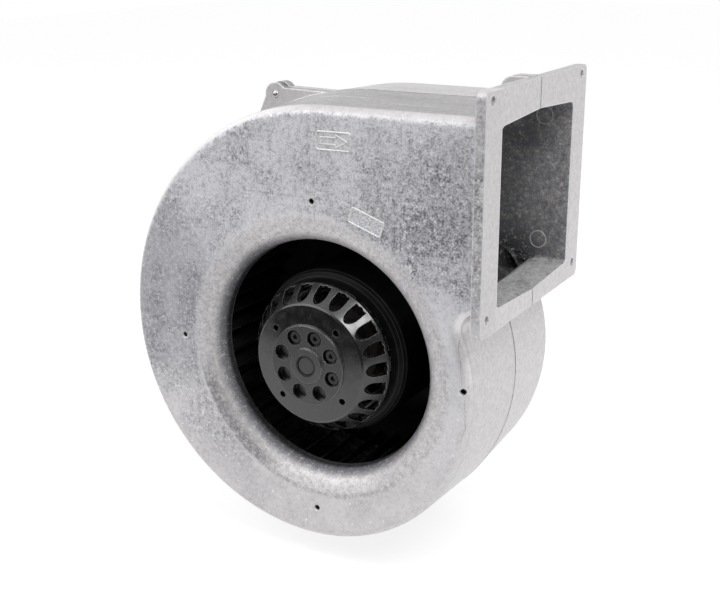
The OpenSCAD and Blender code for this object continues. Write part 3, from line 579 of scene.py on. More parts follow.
def mark_coats(tree, zone, skin, edge):
    """Grain, glint flecks, painted shade round the tapped holes, joint, pits, the wavy duct floor and
    painted edge highlights.
    """
    # Painted glints: small pale flecks on the skin.
    flecks = times(tree, ease(tree, cells(tree, zone.place, FLECK_CELLS), *FLECK_R),
                   ease(tree, skin.coarse, 0.48, 0.40), zone.skin)
    pits = times(tree, ease(tree, cells(tree, zone.place, PIT_CELLS), *PIT_R, 0.0, 0.8),
                 ease(tree, skin.coarse, 0.5, 0.62))
    # Painted highlight: the outer edges are brighter.
    curved = band(tree, zone.slope, (0.05, 0.10), (0.995, 0.97))
    edge_highlight = times(tree, edge, outside(tree, largest(tree, zone.duct, curved)))
    return (
        (skin.dark, grey(0.19, 0.08)),
        (times(tree, skin.pale, 0.7), grey(0.95)),
        (times(tree, flecks, 0.8), grey(0.98)),
        # Painted shade: a dark ring round each tapped hole.
        (times(tree, ease(tree, hole_distance(tree, zone), *HOLE_SHADE_R), zone.front, 0.92), grey(0.02)),
        *joint_coats(tree, zone),
        (pits, grey(0.12)),
        (times(tree, zone.duct_floor, ease(tree, skin.wave, 0.62, 0.38, 0.1, 0.66)), grey(0.64)),
        (times(tree, edge_highlight, 0.9), grey(0.98)))


# The dark ring round each tapped hole is painted shade.
print("dirt up to", HOLE_SHADE_R[0], "mm from the middle of a tapped hole")

# %% [markdown]
# The coats come together in one finish for both halves and the motor flange.
# The drafted walls are cleaner metal than the skin, so they are more metallic and smoother.
# The floor of the duct is wavy, where the metal filled the die last.

# %% Cast aluminium
CAST_EDGE = 0.0014
CAST_RELIEF = 0.00030
WAVE_RELIEF = 2.5
SKIN_METAL = 0.38
SKIN_ROUGH = (0.46, 0.58)


def cast_finish(name):
    material, tree, shader, place, facing = start_finish(name)
    zone = cast_zones(tree, place, facing)
    skin = cast_skin(tree, zone)
    round_normal, edge = rounded_edges(tree, CAST_EDGE)
    tone = coated(tree, warm(0.62), metal_coats(tree, zone, skin))
    tone = coated(tree, tone, shade_and_highlight_coats(tree, zone, skin))
    tone = coated(tree, tone, mark_coats(tree, zone, skin, edge))
    # The deep corner also loses its metal and gloss, which is painted shade.
    open_metal = outside(tree, zone.deep)
    clean = total(tree, SKIN_METAL, times(tree, zone.wall, 0.50))
    metal = times(tree, less(tree, clean, times(tree, zone.duct, 0.15)), open_metal)
    gloss = times(tree, open_metal, 0.5)
    rough = total(tree, ease(tree, skin.grain, 0.35, 0.65, *SKIN_ROUGH), times(tree, zone.wall, -0.17))
    feed(tree, shader, Base_Color=tone, Metallic=metal, Roughness=rough, Specular_IOR_Level=gloss)
    relief = total(tree, times(tree, skin.grain, skin.mottle),
                   times(tree, skin.wave, zone.duct_floor, WAVE_RELIEF))
    raise_skin(tree, shader, relief, CAST_RELIEF, round_normal)
    return material


cast = cast_finish("cast_aluminium")
paint(cast, "front_housing", "rear_housing", "motor_flange")
print("cast finish has", len(cast.node_tree.nodes), "nodes")

# %% [markdown]
# The middle of the rotor cap is as cast under its paint: sandy, with recesses darkened and dulled as
# painted shade, and a dark ring of painted shadow at the shaft. The walls of the recesses that face up and
# to the left are lighter, as painted highlight.
# Radii from the axis and the depth of the recesses place all of it, so it turns with the cap.

# %% Middle of the cap
DISC_R = 25.6
HUB_R = 11.5
SHADOW_RING_R = ((5.6, 5.7), (7.0, 6.9))
RECESS_Y = (-8.5, -6.5)
RECESS_GLOSS = (0.5, 0.38)
SAND = (1.3, 3.0, 0.6)


def cap_middle(tree, shader, zone, coat, peel, roughness):
    """The coat, orange-peel and roughness again, with the middle of the cap worked in."""
    off_hub = ease(tree, zone.axis_r, HUB_R, HUB_R + 0.3)
    # Painted shadow: a dark ring round the shaft.
    ring = band(tree, zone.axis_r, *SHADOW_RING_R)
    sand = times(tree, ease(tree, zone.axis_r, DISC_R + 0.2, DISC_R - 0.2), off_hub)
    # Painted shade: the recesses are darker and less glossy.
    sunk = times(tree, ease(tree, zone.axis_r, DISC_R - 0.4, DISC_R - 0.8), off_hub,
                 ease(tree, zone.y, *RECESS_Y))
    face_x, _, face_z = split(tree, zone.facing)
    # Painted highlight: recess walls that face up and to the left are lighter.
    lit_recess_wall = times(tree, sunk, ease(tree, less(tree, face_z, face_x), 0.5, 1.2))
    feed(tree, shader, Specular_IOR_Level=ease(tree, sunk, 0.0, 1.0, *RECESS_GLOSS))
    coat = coated(tree, coat, (
        (ring, grey(0.0005)),
        (times(tree, sunk, 0.5), grey(0.0008)),
        (lit_recess_wall, grey(0.16))))
    peel = total(tree, peel, times(tree, noise(tree, zone.place, *SAND), sand, 4.0))
    roughness = total(tree, roughness, times(tree, ring, 0.6), times(tree, sand, 0.06))
    return coat, peel, roughness


print("cap disc of radius", DISC_R, "mm")

# %% [markdown]
# The rotor cap, the cup behind it and the hub screws are one thing to the eye: satin black paint.
# Real paint of this kind is a dull lacquer over metal, a little thin on sharp edges,
# so the edges get a greyer tone, and the coat carries dust and a faint orange-peel.
# The impeller's sheet has the same black without gloss, so that it stays in the dark of the inlet.

# %% Black paint
PEEL = 0.00002
CUP_HIGHLIGHT_R = (52.5, 51.2, 48.8)


def black_finish(name, level, rough, wear, wear_level, ior, edge_r=0.0004, disc=False, lines=()):
    """Satin black: wear is how much of wear_level shows on edges, lines are the radii of painted highlight
    rings.
    """
    material, tree, shader, place, facing = start_finish(name, IOR=ior)
    x, y, z = split(tree, place)
    zone = SimpleNamespace(place=place, facing=facing, y=y, axis_r=distance(tree, x, z))
    round_normal, edge = rounded_edges(tree, edge_r)
    peel = noise(tree, place, 0.9, 2.0, 0.5)
    dust = noise(tree, place, 0.16, 4.0, 0.65)
    worn = times(tree, edge, ease(tree, noise(tree, place, 0.12, 2.0), 0.36, 0.60, 0.45, 1.0))
    coat = coated(tree, grey(level, 0.05), (
        (ease(tree, dust, 0.42, 0.75, 0.0, 0.5), grey(level * 2.2, 0.03)),
        (times(tree, worn, wear), grey(wear_level))))
    roughness = ease(tree, dust, 0.3, 0.7, rough - 0.05, rough + 0.08)
    # Painted highlight: thin lighter rings at the given radii.
    for highlight_r in lines:
        away = unsigned(tree, less(tree, zone.axis_r, highlight_r))
        coat = blend_colour(tree, ease(tree, away, 0.08, 0.30, 0.8, 0.0), coat, grey(0.05, 0.03))
    if disc:
        coat, peel, roughness = cap_middle(tree, shader, zone, coat, peel, roughness)
    feed(tree, shader, Base_Color=coat, Roughness=roughness)
    raise_skin(tree, shader, peel, PEEL, round_normal)
    return material


paint(black_finish("black_paint", level=0.004, rough=0.22, wear=0.7, wear_level=0.26, ior=1.75,
                   edge_r=0.00055, disc=True), "rotor_end_cap")
paint(black_finish("cup_black", level=0.006, rough=0.40, wear=0.6, wear_level=0.07, ior=1.20,
                   lines=CUP_HIGHLIGHT_R), "rotor_cup")
paint(black_finish("screw_black", level=0.004, rough=0.26, wear=0.5, wear_level=0.12, ior=1.55),
      "hub_screws")
paint(black_finish("black_sheet", level=0.016, rough=0.6, wear=0.0, wear_level=0.02, ior=1.15),
      "impeller_back_plate", "impeller_front_ring", "impeller_blades")
print("black on the cap, the cup, the hub screws and the impeller")

# %% [markdown]
# The shaft is turned steel, but its nose was painted with the cap it sits in.
# One finish with a step along the shaft is truer than two meshes, because the bar is one piece.
# The tool's rings are noise that changes with the radius and along the axis, but not round it.

# %% Turned steel
PAINTED_NOSE_Y = -2.0
RINGS = (3.2, 2.0, 0.6)
RING_DEPTH = 0.00002


def turned_finish(name, level, rough, painted_before=None):
    material, tree, shader, place, _ = start_finish(name, Metallic=1.0, IOR=1.75)
    x, y, z = split(tree, place)
    groove = noise(tree, put(tree, "CombineXYZ", X=distance(tree, x, z), Y=y).outputs[0], *RINGS)
    stain_and_shade = noise(tree, place, 0.25, 3.0)
    steel = coated(tree, grey(level, 0.01), (
        (ease(tree, groove, 0.35, 0.65, 0.0, 0.35), grey(level * 0.7, 0.02)),
        (ease(tree, stain_and_shade, 0.5, 0.75, 0.0, 0.3), grey(level * 0.6))))
    if painted_before is not None:
        coat = ease(tree, y, painted_before, painted_before + 0.2, 1.0, 0.0)
        steel = blend_colour(tree, coat, steel, grey(0.006, 0.05))
        feed(tree, shader, Metallic=ease(tree, coat, 0.4, 0.6, 1.0, 0.0))
    feed(tree, shader, Base_Color=steel, Roughness=ease(tree, groove, 0.3, 0.7, rough, rough + 0.15))
    round_normal, _ = rounded_edges(tree, FINE_EDGE)
    raise_skin(tree, shader, groove, RING_DEPTH, round_normal)
    return material


paint(turned_finish("shaft_steel", 0.62, 0.26, painted_before=PAINTED_NOSE_Y), "shaft")
paint(turned_finish("turned_steel", 0.60, 0.3),
      "bearing_tube", "preload_washer", "tube_retaining_ring", "shaft_retaining_ring")
print("turned steel on the shaft, tube and rings")

# %% [markdown]
# The screws and washers are zinc plated: bright, a little blue and yellow, with faint cells in the plating.
# Cell noise gives each patch its own tint, and a film of smooth noise over it changes the gloss.

# %% Zinc plating
ZINC_NODES = ("housing_screws", "motor_flange_screws", "motor_flange_washers", "impeller_screws")
BLUE_ZINC = (0.60, 0.61, 0.63, 1.0)
YELLOW_ZINC = (0.70, 0.69, 0.66, 1.0)
DULL_ZINC = (0.42, 0.42, 0.44, 1.0)
ZINC_RELIEF = 0.00002

zinc, tree, shader, place, _ = start_finish("zinc_steel", Metallic=1.0)
round_normal, edge = rounded_edges(tree, FINE_EDGE)
tint = put(tree, "SeparateColor", Color=cells(tree, place, 0.9, "Color")).outputs[0]
film = noise(tree, place, 0.35, 3.0)
plating = coated(tree, BLUE_ZINC, (
    (tint, YELLOW_ZINC),
    (ease(tree, film, 0.5, 0.72, 0.0, 0.4), DULL_ZINC),
    (times(tree, edge, 0.5), grey(0.85))))
feed(tree, shader, Base_Color=plating, Roughness=ease(tree, film, 0.3, 0.7, 0.22, 0.40))
raise_skin(tree, shader, film, ZINC_RELIEF, round_normal)
paint(zinc, *ZINC_NODES)
print("zinc on", len(ZINC_NODES), "nodes")

# %% [markdown]
# Bearing races and balls are ground and polished, so they get the turned finish with a higher gloss.
# The laminations are thin sheets stacked along the axis: a sine along the axis draws their edges.

# %% Bearings and laminations
SHEET_MM = 0.5
SHEET_RELIEF = 0.00004
RUST = (0.16, 0.12, 0.09, 1.0)

paint(turned_finish("bearing_steel", 0.66, 0.12),
      "front_bearing_outer_race", "front_bearing_inner_race", "front_bearing_balls",
      "rear_bearing_outer_race", "rear_bearing_inner_race", "rear_bearing_balls")

stack, tree, shader, place, _ = start_finish("lamination_steel", Metallic=0.8)
_, along_axis, _ = split(tree, place)
sheets = calc(tree, "SINE", times(tree, along_axis, 2 * math.pi / SHEET_MM))
scale_mark = noise(tree, place, 0.4, 3.0)
sheet_tone = coated(tree, grey(0.10, 0.02), (
    (ease(tree, sheets, -0.6, 0.8), grey(0.30, 0.01)),
    (ease(tree, scale_mark, 0.5, 0.75, 0.0, 0.6), RUST)))
feed(tree, shader, Base_Color=sheet_tone, Roughness=ease(tree, scale_mark, 0.3, 0.7, 0.38, 0.6))
raise_skin(tree, shader, sheets, SHEET_RELIEF)
paint(stack, "stator_core", "rotor_core")
print("sheets every", SHEET_MM, "mm")

# %% [markdown]
# The coils are enamelled copper wire, laid turn beside turn out along each tooth.
# Stripes over the distance from the axis show the turns, and noise keeps the enamel from being even.

# %% Windings
WIRE_MM = 0.55
WIRE_RELIEF = 0.00012
BETWEEN_WIRES = (0.006, 0.004, 0.003, 1.0)
ENAMEL = (0.026, 0.014, 0.008, 1.0)
BAKED_ENAMEL = (0.012, 0.007, 0.005, 1.0)

coil, tree, shader, place, _ = start_finish("copper_winding", Metallic=0.3)
x, _, z = split(tree, place)
wires = calc(tree, "SINE", times(tree, distance(tree, x, z), 2 * math.pi / WIRE_MM))
enamel = noise(tree, place, 0.5, 3.0)
wire_tone = coated(tree, BETWEEN_WIRES, (
    (ease(tree, wires, -0.9, 0.6), ENAMEL),
    (ease(tree, enamel, 0.45, 0.7, 0.0, 0.5), BAKED_ENAMEL)))
feed(tree, shader, Base_Color=wire_tone, Roughness=ease(tree, enamel, 0.3, 0.7, 0.22, 0.40))
raise_skin(tree, shader, wires, WIRE_RELIEF)
paint(coil, "stator_windings")
print("wires every", WIRE_MM, "mm")

# %% [markdown]
# The rest are plainer: moulded insulation, the cast cage of the rotor, and the matt rubber of the grommet.
# One finish of two tones does for all of them: a grain, and dirt gathered in wider patches.

# %% Insulation, cage and rubber
BROWN = (0.040, 0.032, 0.026, 1.0)
DARK_BROWN = (0.018, 0.014, 0.012, 1.0)
DIRT_SHARE = 0.15


def plain_finish(name, light, shade, rough, grain_scale, relief, metal=0.0):
    material, tree, shader, place, _ = start_finish(name, Metallic=metal)
    grain = noise(tree, place, grain_scale, 4.0, 0.6)
    dirt = noise(tree, place, grain_scale * DIRT_SHARE, 3.0, 0.6)
    tone = coated(tree, shade, (
        (ease(tree, grain, 0.38, 0.62), light),
        (ease(tree, dirt, 0.5, 0.75, 0.0, 0.5), shade)))
    roughness = ease(tree, grain, 0.3, 0.7, rough - 0.08, rough + 0.08)
    feed(tree, shader, Base_Color=tone, Roughness=roughness)
    round_normal, _ = rounded_edges(tree, FINE_EDGE)
    raise_skin(tree, shader, grain, relief, round_normal)
    return material


paint(plain_finish("dark_insulation", BROWN, DARK_BROWN, rough=0.5, grain_scale=1.2, relief=0.00004),
      "front_end_plate", "rear_end_plate")
paint(plain_finish("cage_aluminium", grey(0.66, 0.01), grey(0.40, 0.01), rough=0.45, grain_scale=0.9,
                   relief=0.00008, metal=0.95), "rotor_cage")
paint(plain_finish("black_rubber", grey(0.030), grey(0.016), rough=0.68, grain_scale=1.6, relief=0.00005),
      "cable_grommet")
print("materials so far:", len(bpy.data.materials))

# %% [markdown]
# The die leaves raised marks on the casting: a plate with a turning arrow, a bare plate and flow lines.
# Each is a bead of metal a few tenths of a millimetre high.
# A bevelled curve would do, but a bead swept in mesh code keeps its foot below the skin,
# so no gap shows beside it.

# %% A raised bead
BEAD = ((-0.5, 0.0), (-0.42, 0.55), (-0.2, 0.92), (0.0, 1.0), (0.2, 0.92), (0.42, 0.55), (0.5, 0.0))
BEAD_FOOT = 0.08
LEAST_MITRE = 0.5
BEFORE_FRONT = -0.03
INWARD = Vector((0, 1, 0))
front_skin = BVHTree.FromObject(nodes["front_housing"], bpy.context.evaluated_depsgraph_get())


def on_front(u, v, rise):
    """A point of the front of the casing, in metres, raised in front of its skin."""
    skin = front_skin.ray_cast(Vector((u * MM, BEFORE_FRONT, v * MM)), INWARD)[0]
    return skin - INWARD * rise * MM


def across(step):
    return Vector((-step.y, step.x)).normalized()


def join_rows(bm, rows, closed):
    for i in range(len(rows) if closed else len(rows) - 1):
        one, two = rows[i], rows[(i + 1) % len(rows)]
        for k in range(len(one)):
            n = (k + 1) % len(one)
            bm.faces.new((one[k], two[k], two[n], one[n]))
    if not closed:
        bm.faces.new(rows[0])
        bm.faces.new(rows[-1])


def add_bead(bm, path, width, height, lay=on_front, closed=False):
    """Sweeps a small round-topped bead along points (across, up) in mm, on the surface that lay gives."""
    points = [Vector(point) for point in path]
    rows = []
    for i, point in enumerate(points):
        into = point - points[i - 1] if closed or i else points[1] - point
        out = points[(i + 1) % len(points)] - point if closed or i < len(points) - 1 else into
        side = (across(into) + across(out)).normalized()
        side /= max(LEAST_MITRE, side.dot(across(out)))
        row = []
        for along, rise in BEAD:
            here = point + side * along * width
            row.append(bm.verts.new(lay(here.x, here.y, rise * height if rise else -BEAD_FOOT)))
        rows.append(row)
    join_rows(bm, rows, closed)


print("bead of", len(BEAD), "points")

# %% [markdown]
# A finished piece is a mesh with one finish, and it rides on the body that carries it:
# all the pieces added here sit on the housing, and most are of its metal.
# Faces that meet at a sharp angle stay sharp; the rest are shaded smooth.

# %% Keeping a piece
SHARP_ANGLE = math.radians(40)


def keep_piece(name, bm, finish, body="housing"):
    bmesh.ops.recalc_face_normals(bm, faces=bm.faces)
    mesh = bpy.data.meshes.new(name)
    bm.to_mesh(mesh)
    bm.free()
    mesh.materials.append(finish)
    mesh.shade_smooth()
    mesh.set_sharp_from_angle(angle=SHARP_ANGLE)
    piece = bpy.data.objects.new(name, mesh)
    bpy.context.scene.collection.objects.link(piece)
    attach(piece, body)
    print(name, len(mesh.polygons), "faces")


print("pieces are sharp over", round(math.degrees(SHARP_ANGLE)), "degrees")

# %% [markdown]
# The arrow that shows which way the rotor turns stands on the front, in a rounded frame.
# Both are closed beads. Raised metal is touched most, so it is cleaner than the skin round it.

# %% Turning arrow
ARROW_AT = (15.7, 136.6)
ARROW_TILT = 0.6
ARROW_PLATE = (22.6, 10.4)
ARROW_CORNER = 1.4
ARROW = ((-8.6, 2.0), (1.6, 2.0), (1.6, 3.7), (9.0, 0.0), (1.6, -3.7), (1.6, -2.0), (-8.6, -2.0))
ARROW_BEAD = (0.85, 0.4)
FRAME_BEAD = (0.95, 0.5)
CORNER_STEPS = 5


def rounded_plate(sides, corner):
    """Points of a rounded rectangle about its middle, in mm."""
    path = []
    for start, sx, sy in ((0, 1, 1), (90, -1, 1), (180, -1, -1), (270, 1, -1)):
        for k in range(CORNER_STEPS + 1):
            angle = math.radians(start + 90 * k / CORNER_STEPS)
            path.append((sx * (sides[0] / 2 - corner) + corner * math.cos(angle),
                         sy * (sides[1] / 2 - corner) + corner * math.sin(angle)))
    return path


def moved(path, centre, tilt=0.0):
    c, s = math.cos(math.radians(tilt)), math.sin(math.radians(tilt))
    return [(centre[0] + c * u - s * v, centre[1] + s * u + c * v) for u, v in path]


raised = plain_finish("raised_marks", grey(0.90), grey(0.70), rough=0.42, grain_scale=1.0, relief=0.00005,
                      metal=0.3)
bm = bmesh.new()
arrow_frame = moved(rounded_plate(ARROW_PLATE, ARROW_CORNER), ARROW_AT, ARROW_TILT)
add_bead(bm, arrow_frame, *FRAME_BEAD, closed=True)
add_bead(bm, moved(ARROW, ARROW_AT, ARROW_TILT), *ARROW_BEAD, closed=True)
keep_piece("turning_arrow", bm, raised)

# %% [markdown]
# A second plate is bare: the same kind of frame round a low flat pad.
# The pad is a piece of its own, because its skin is paler than the face round it.

# %% Bare plate
BARE_AT = (36.8, 91.9)
BARE_PLATE = (22.2, 9.1)
BARE_CORNER = 1.6
BARE_TILT = -19.2
PAD_H = 0.06


def add_pad(bm, path, height, lay=on_front):
    """A low flat pad inside a closed path, with its foot below the skin."""
    top = [bm.verts.new(lay(u, v, height)) for u, v in path]
    foot = [bm.verts.new(lay(u, v, -BEAD_FOOT)) for u, v in path]
    bm.faces.new(top)
    bm.faces.new(foot)
    for i in range(len(path)):
        n = (i + 1) % len(path)
        bm.faces.new((top[i], top[n], foot[n], foot[i]))


bm = bmesh.new()
bare_frame = moved(rounded_plate(BARE_PLATE, BARE_CORNER), BARE_AT, BARE_TILT)
add_bead(bm, bare_frame, *FRAME_BEAD, closed=True)
keep_piece("bare_plate_rim", bm, raised)
bm = bmesh.new()
add_pad(bm, bare_frame, PAD_H)
plate_skin = plain_finish("plate_skin", grey(0.86, 0.03), grey(0.50, 0.04), rough=0.5, grain_scale=0.8,
                          relief=0.00008, metal=0.35)
keep_piece("bare_plate", bm, plate_skin)

# %% [markdown]
# Ejector pins push the casting out of the die and leave round prints.
# Two show on the rear wall of the outlet duct, and a small one on the front.
# A ray from the open side finds the drafted wall, so each print lies flat on it.

# %% Ejector pin prints
DUCT_PRINTS = ((98.0, 141.9), (97.0, 63.0))
RAY_START_Y = 80.0
PRINT_R = 5.2
PRINT_H = 0.05
PRINT_RIM_R = 5.4
PRINT_RIM_BEAD = (0.8, 0.25)
FRONT_PRINT_AT = (96.0, 133.0)
FRONT_PRINT_R = 2.1
FRONT_PRINT_STEPS = 24
FRONT_PRINT_BEAD = (0.6, 0.16)


def wall_place(node, start, direction):
    """A place on a node's surface: where a ray meets it, facing back along the ray."""
    surface = BVHTree.FromObject(nodes[node], bpy.context.evaluated_depsgraph_get())
    point, normal, _, _ = surface.ray_cast(Vector(start) * MM, direction)
    out = normal if normal.dot(direction) < 0 else -normal
    up = (Vector((0, 0, 1)) - out * out.z).normalized()
    axes = Matrix((up.cross(out), up, out)).transposed().to_4x4()
    return Matrix.Translation(point) @ axes @ Matrix.Scale(MM, 4)


def on_plane(plane):
    return lambda u, v, rise: plane @ Vector((u, v, rise))


def circle(radius, steps=40):
    angles = [2 * math.pi * k / steps for k in range(steps)]
    return [(radius * math.cos(angle), radius * math.sin(angle)) for angle in angles]


prints = bmesh.new()
rims = bmesh.new()
for x, z in DUCT_PRINTS:
    wall = wall_place("rear_housing", (x, RAY_START_Y, z), INWARD)
    add_bead(rims, circle(PRINT_RIM_R), *PRINT_RIM_BEAD, on_plane(wall), closed=True)
    add_pad(prints, circle(PRINT_R), PRINT_H, on_plane(wall))
    print("pin print on the duct wall at y =", round(wall.translation.y / MM, 2))
front_print = moved(circle(FRONT_PRINT_R, FRONT_PRINT_STEPS), FRONT_PRINT_AT)
add_bead(prints, front_print, *FRONT_PRINT_BEAD, closed=True)
keep_piece("ejector_prints", prints, cast)
rubbed = plain_finish("rubbed_cast", grey(0.85), grey(0.50), rough=0.45, grain_scale=1.0, relief=0.00005,
                      metal=0.3)
keep_piece("ejector_rims", rims, rubbed)

# %% [markdown]
# Where two streams of metal met in the die, a thin line stands on the skin.
# One runs from the arrow plate down to the tapped hole and on below it, and a short one lies near the lip.
# They are open beads with the finish of the casting itself, so only their relief shows.

# %% Flow lines
FLOW_LINES = (
    (((5.0, 130.6), (4.2, 126.0), (3.6, 121.5), (2.2, 117.0), (2.6, 112.0), (2.0, 106.5)), 0.7, 0.10),
    (((2.4, 99.0), (1.6, 95.0), (2.0, 90.8)), 0.6, 0.09),
    (((68.0, 58.0), (73.0, 61.5), (79.0, 63.0)), 0.5, 0.08))

bm = bmesh.new()
for path, width, height in FLOW_LINES:
    add_bead(bm, path, width, height)
keep_piece("flow_lines", bm, cast)

# %% [markdown]
# On the outlet side the metal met so cold that it did not quite close, and dirt has settled in the line.
# A crack cut into the casting would need its mesh changed,
# so the line is a hair-thin bead with a dull brownish finish, broken where the tapped hole crosses it.
# A short one like it lies above the arrow.

# %% Cold shuts
COLD_SHUTS = (
    ((96.6, 31.0), (96.2, 25.1), (98.2, 16.4), (98.1, 8.4), (99.6, 4.6)),
    ((101.0, -4.6), (101.1, -13.8), (101.6, -22.8), (98.6, -32.0)),
    ((15.1, 153.2), (14.2, 149.7), (13.0, 145.7)))
COLD_SHUT_BEAD = (0.34, 0.04)
SWAY = 0.4
SWAY_SCALE = 0.45
SWAY_STEPS = 6
PALE_BROWN = (0.64, 0.60, 0.56, 1.0)
DULL_BROWN = (0.40, 0.37, 0.35, 1.0)


def wavy(path):
    """The same open path with points between, each swayed sideways a little by smooth noise."""
    result = []
    for a, b in zip(path, path[1:]):
        for k in range(SWAY_STEPS):
            here = Vector(a).lerp(Vector(b), k / SWAY_STEPS)
            push = wobble.noise(Vector((here.x, 0, here.y)) * SWAY_SCALE) * SWAY
            result.append((here.x + push, here.y))
    return result + [path[-1]]


bm = bmesh.new()
for path in COLD_SHUTS:
    add_bead(bm, wavy(path), *COLD_SHUT_BEAD)
old_dirt = plain_finish("cold_shut_dirt", PALE_BROWN, DULL_BROWN, rough=0.6, grain_scale=0.9,
                        relief=0.00004, metal=0.2)
keep_piece("cold_shuts", bm, old_dirt)

# %% [markdown]
# A small bright bead, shaped like a tapping burr, lies round each hole of the inlet face.
# It is painted highlight for the light on the lower side of the hole, so only the lower part of each ring
# is drawn.

# %% Highlight beads of the tapped holes
HOLE_HIGHLIGHT_R = 2.35
HOLE_HIGHLIGHT_ARC = (-150, -10)
HOLE_HIGHLIGHT_BEAD = (0.7, 0.3)
HOLE_HIGHLIGHT_STEPS = 14


def arc(radius, first, last):
    angles = [math.radians(first + (last - first) * k / HOLE_HIGHLIGHT_STEPS) for k in range(HOLE_HIGHLIGHT_STEPS + 1)]
    return [(radius * math.cos(angle), radius * math.sin(angle)) for angle in angles]


# Painted highlight: a bright bead round the lower part of each tapped hole.
bm = bmesh.new()
for quarter in (0, 90, 180, 270):
    angle = math.radians(quarter)
    middle = (TAP_PITCH_R * math.cos(angle), TAP_PITCH_R * math.sin(angle))
    add_bead(bm, moved(arc(HOLE_HIGHLIGHT_R, *HOLE_HIGHLIGHT_ARC), middle), *HOLE_HIGHLIGHT_BEAD)
keep_piece("hole_highlight_beads", bm, raised)

# %% [markdown]
# The housing screws come through the front ears, and their rounded ends show in the holes.
# Each end is a low dome, a profile turned about the axis of its screw.
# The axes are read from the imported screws: the corners of each flat end lie close together.

# %% Screw ends
DOME = ((0.97, -0.1), (0.95, 0.2), (0.86, 0.55), (0.6, 0.86), (0.25, 1.0))
DOME_H = 1.1
DOME_STEPS = 28
SCREW_REACH = 10.0
SAME_PLACE = 1e-6


def screw_ends(node):
    """Centre and radius of the flat end of each screw, at the front of the node."""
    corners = [v.co for v in nodes[node].data.vertices]
    front = min(corner.y for corner in corners)
    groups = []
    for corner in corners:
        if corner.y < front + SAME_PLACE:
            near = [group for group in groups if (group[0] - corner).length < SCREW_REACH * MM]
            if not near:
                near = [[]]
                groups.append(near[0])
            near[0].append(corner)
    ends = []
    for group in groups:
        low = Vector([min(corner[k] for corner in group) for k in range(3)])
        high = Vector([max(corner[k] for corner in group) for k in range(3)])
        ends.append(((low + high) / 2, (high.x - low.x) / 2))
    return ends


def add_dome(bm, centre, radius):
    rows = []
    for k in range(DOME_STEPS):
        angle = 2 * math.pi * k / DOME_STEPS
        way = Vector((math.cos(angle), 0, math.sin(angle)))
        rows.append([bm.verts.new(centre + way * radius * share - Vector((0, rise * DOME_H * MM, 0)))
                     for share, rise in DOME])
    for one, two in zip(rows, rows[1:] + rows[:1]):
        for a in range(len(DOME) - 1):
            bm.faces.new((one[a], two[a], two[a + 1], one[a + 1]))
    bm.faces.new([row[-1] for row in rows])
    bm.faces.new([row[0] for row in rows])


bm = bmesh.new()
for centre, radius in screw_ends("housing_screws"):
    add_dome(bm, centre, radius)
    print("screw end at", [round(v / MM, 1) for v in centre], "radius", round(radius / MM, 2))
keep_piece("screw_ends", bm, zinc)

# %% [markdown]
# The two halves of the housing meet on a flat joint, and a trace of flash stands along it.
# The joint is read from the front half itself: the edges of its flat mating face are the line to follow,
# and the walls beside them say which way is out.

# %% Edges of the joint
FLAT_FACE = 0.999


def joint_edges(bm, level):
    """The neighbours of each corner along the edge of the flat mating face, with the way out."""
    near = {}
    for edge in bm.edges:
        if len(edge.link_faces) != 2 or any(abs(v.co.y - level) > SAME_PLACE for v in edge.verts):
            continue
        flat = [abs(face.normal.y) > FLAT_FACE for face in edge.link_faces]
        if sum(flat) == 1:
            wall = edge.link_faces[flat.index(False)].normal
            way = Vector((wall.x, 0, wall.z)).normalized()
            for v, other in (edge.verts, reversed(edge.verts)):
                near.setdefault(v.index, []).append((other.index, way))
    return near


def joint_lines(node, level):
    """Closed lines of (point, way out) round the flat mating face of a node."""
    bm = bmesh.new()
    bm.from_mesh(nodes[node].data)
    bmesh.ops.remove_doubles(bm, verts=bm.verts, dist=SAME_PLACE)
    near = joint_edges(bm, level)
    corners = {v.index: v.co.copy() for v in bm.verts if v.index in near}
    bm.free()
    lines, left = [], set(near)
    while left:
        first = min(left)
        line, here, before = [], first, None
        while here in left:
            left.discard(here)
            way = sum((w for _, w in near[here]), Vector()).normalized()
            line.append((corners[here], way))
            onward = [k for k, _ in near[here] if k != before and (k in left or k == first)]
            before, here = here, (onward[0] if onward else first)
        lines.append(line)
    return lines


joint = joint_lines("front_housing", SEAM_Y * MM)
print("closed lines on the joint:", len(joint))

# %% [markdown]
# The casing is open at the outlet, so the longest line runs round its outside and back along its inside.
# The others are the rims of the screw holes, which have no flash.
# Long straight runs get points between, so that the flash can vary along them.

# %% Line of the flash
FLASH_STEP = 0.0022


def spaced(line, step):
    """The same closed line, with points between where a run is longer than a step (in metres)."""
    result = []
    for (a, way_a), (b, way_b) in zip(line, line[1:] + line[:1]):
        count = max(1, int((b - a).length / step))
        for k in range(count):
            t = k / count
            result.append((a.lerp(b, t), way_a.lerp(way_b, t).normalized()))
    return result


def line_length(line):
    return sum((a[0] - b[0]).length for a, b in zip(line, line[1:] + line[:1]))


wall_line = max(joint, key=line_length)
flash_line = spaced(wall_line, FLASH_STEP)
print("joint line of", round(line_length(wall_line) / MM), "mm in", len(flash_line), "points")

# %% [markdown]
# The flash itself is the same bead, swept along that line.
# Real flash is uneven, so smooth noise swells and thins it along the way.

# %% Flash along the joint
FLASH_W = 0.34
FLASH_H = 0.16
LEAST_SWELL = 0.6
MORE_SWELL = 0.7
SWELL_SCALE = 90.0

bm = bmesh.new()
rows = []
for point, way in flash_line:
    swell = LEAST_SWELL + MORE_SWELL * abs(wobble.noise(point * SWELL_SCALE))
    rows.append([bm.verts.new(point + Vector((0, along * FLASH_W * MM * swell, 0))
                              + way * MM * (rise * FLASH_H * swell if rise else -BEAD_FOOT))
                 for along, rise in BEAD])
join_rows(bm, rows, closed=True)
keep_piece("seam_flash", bm, cast)

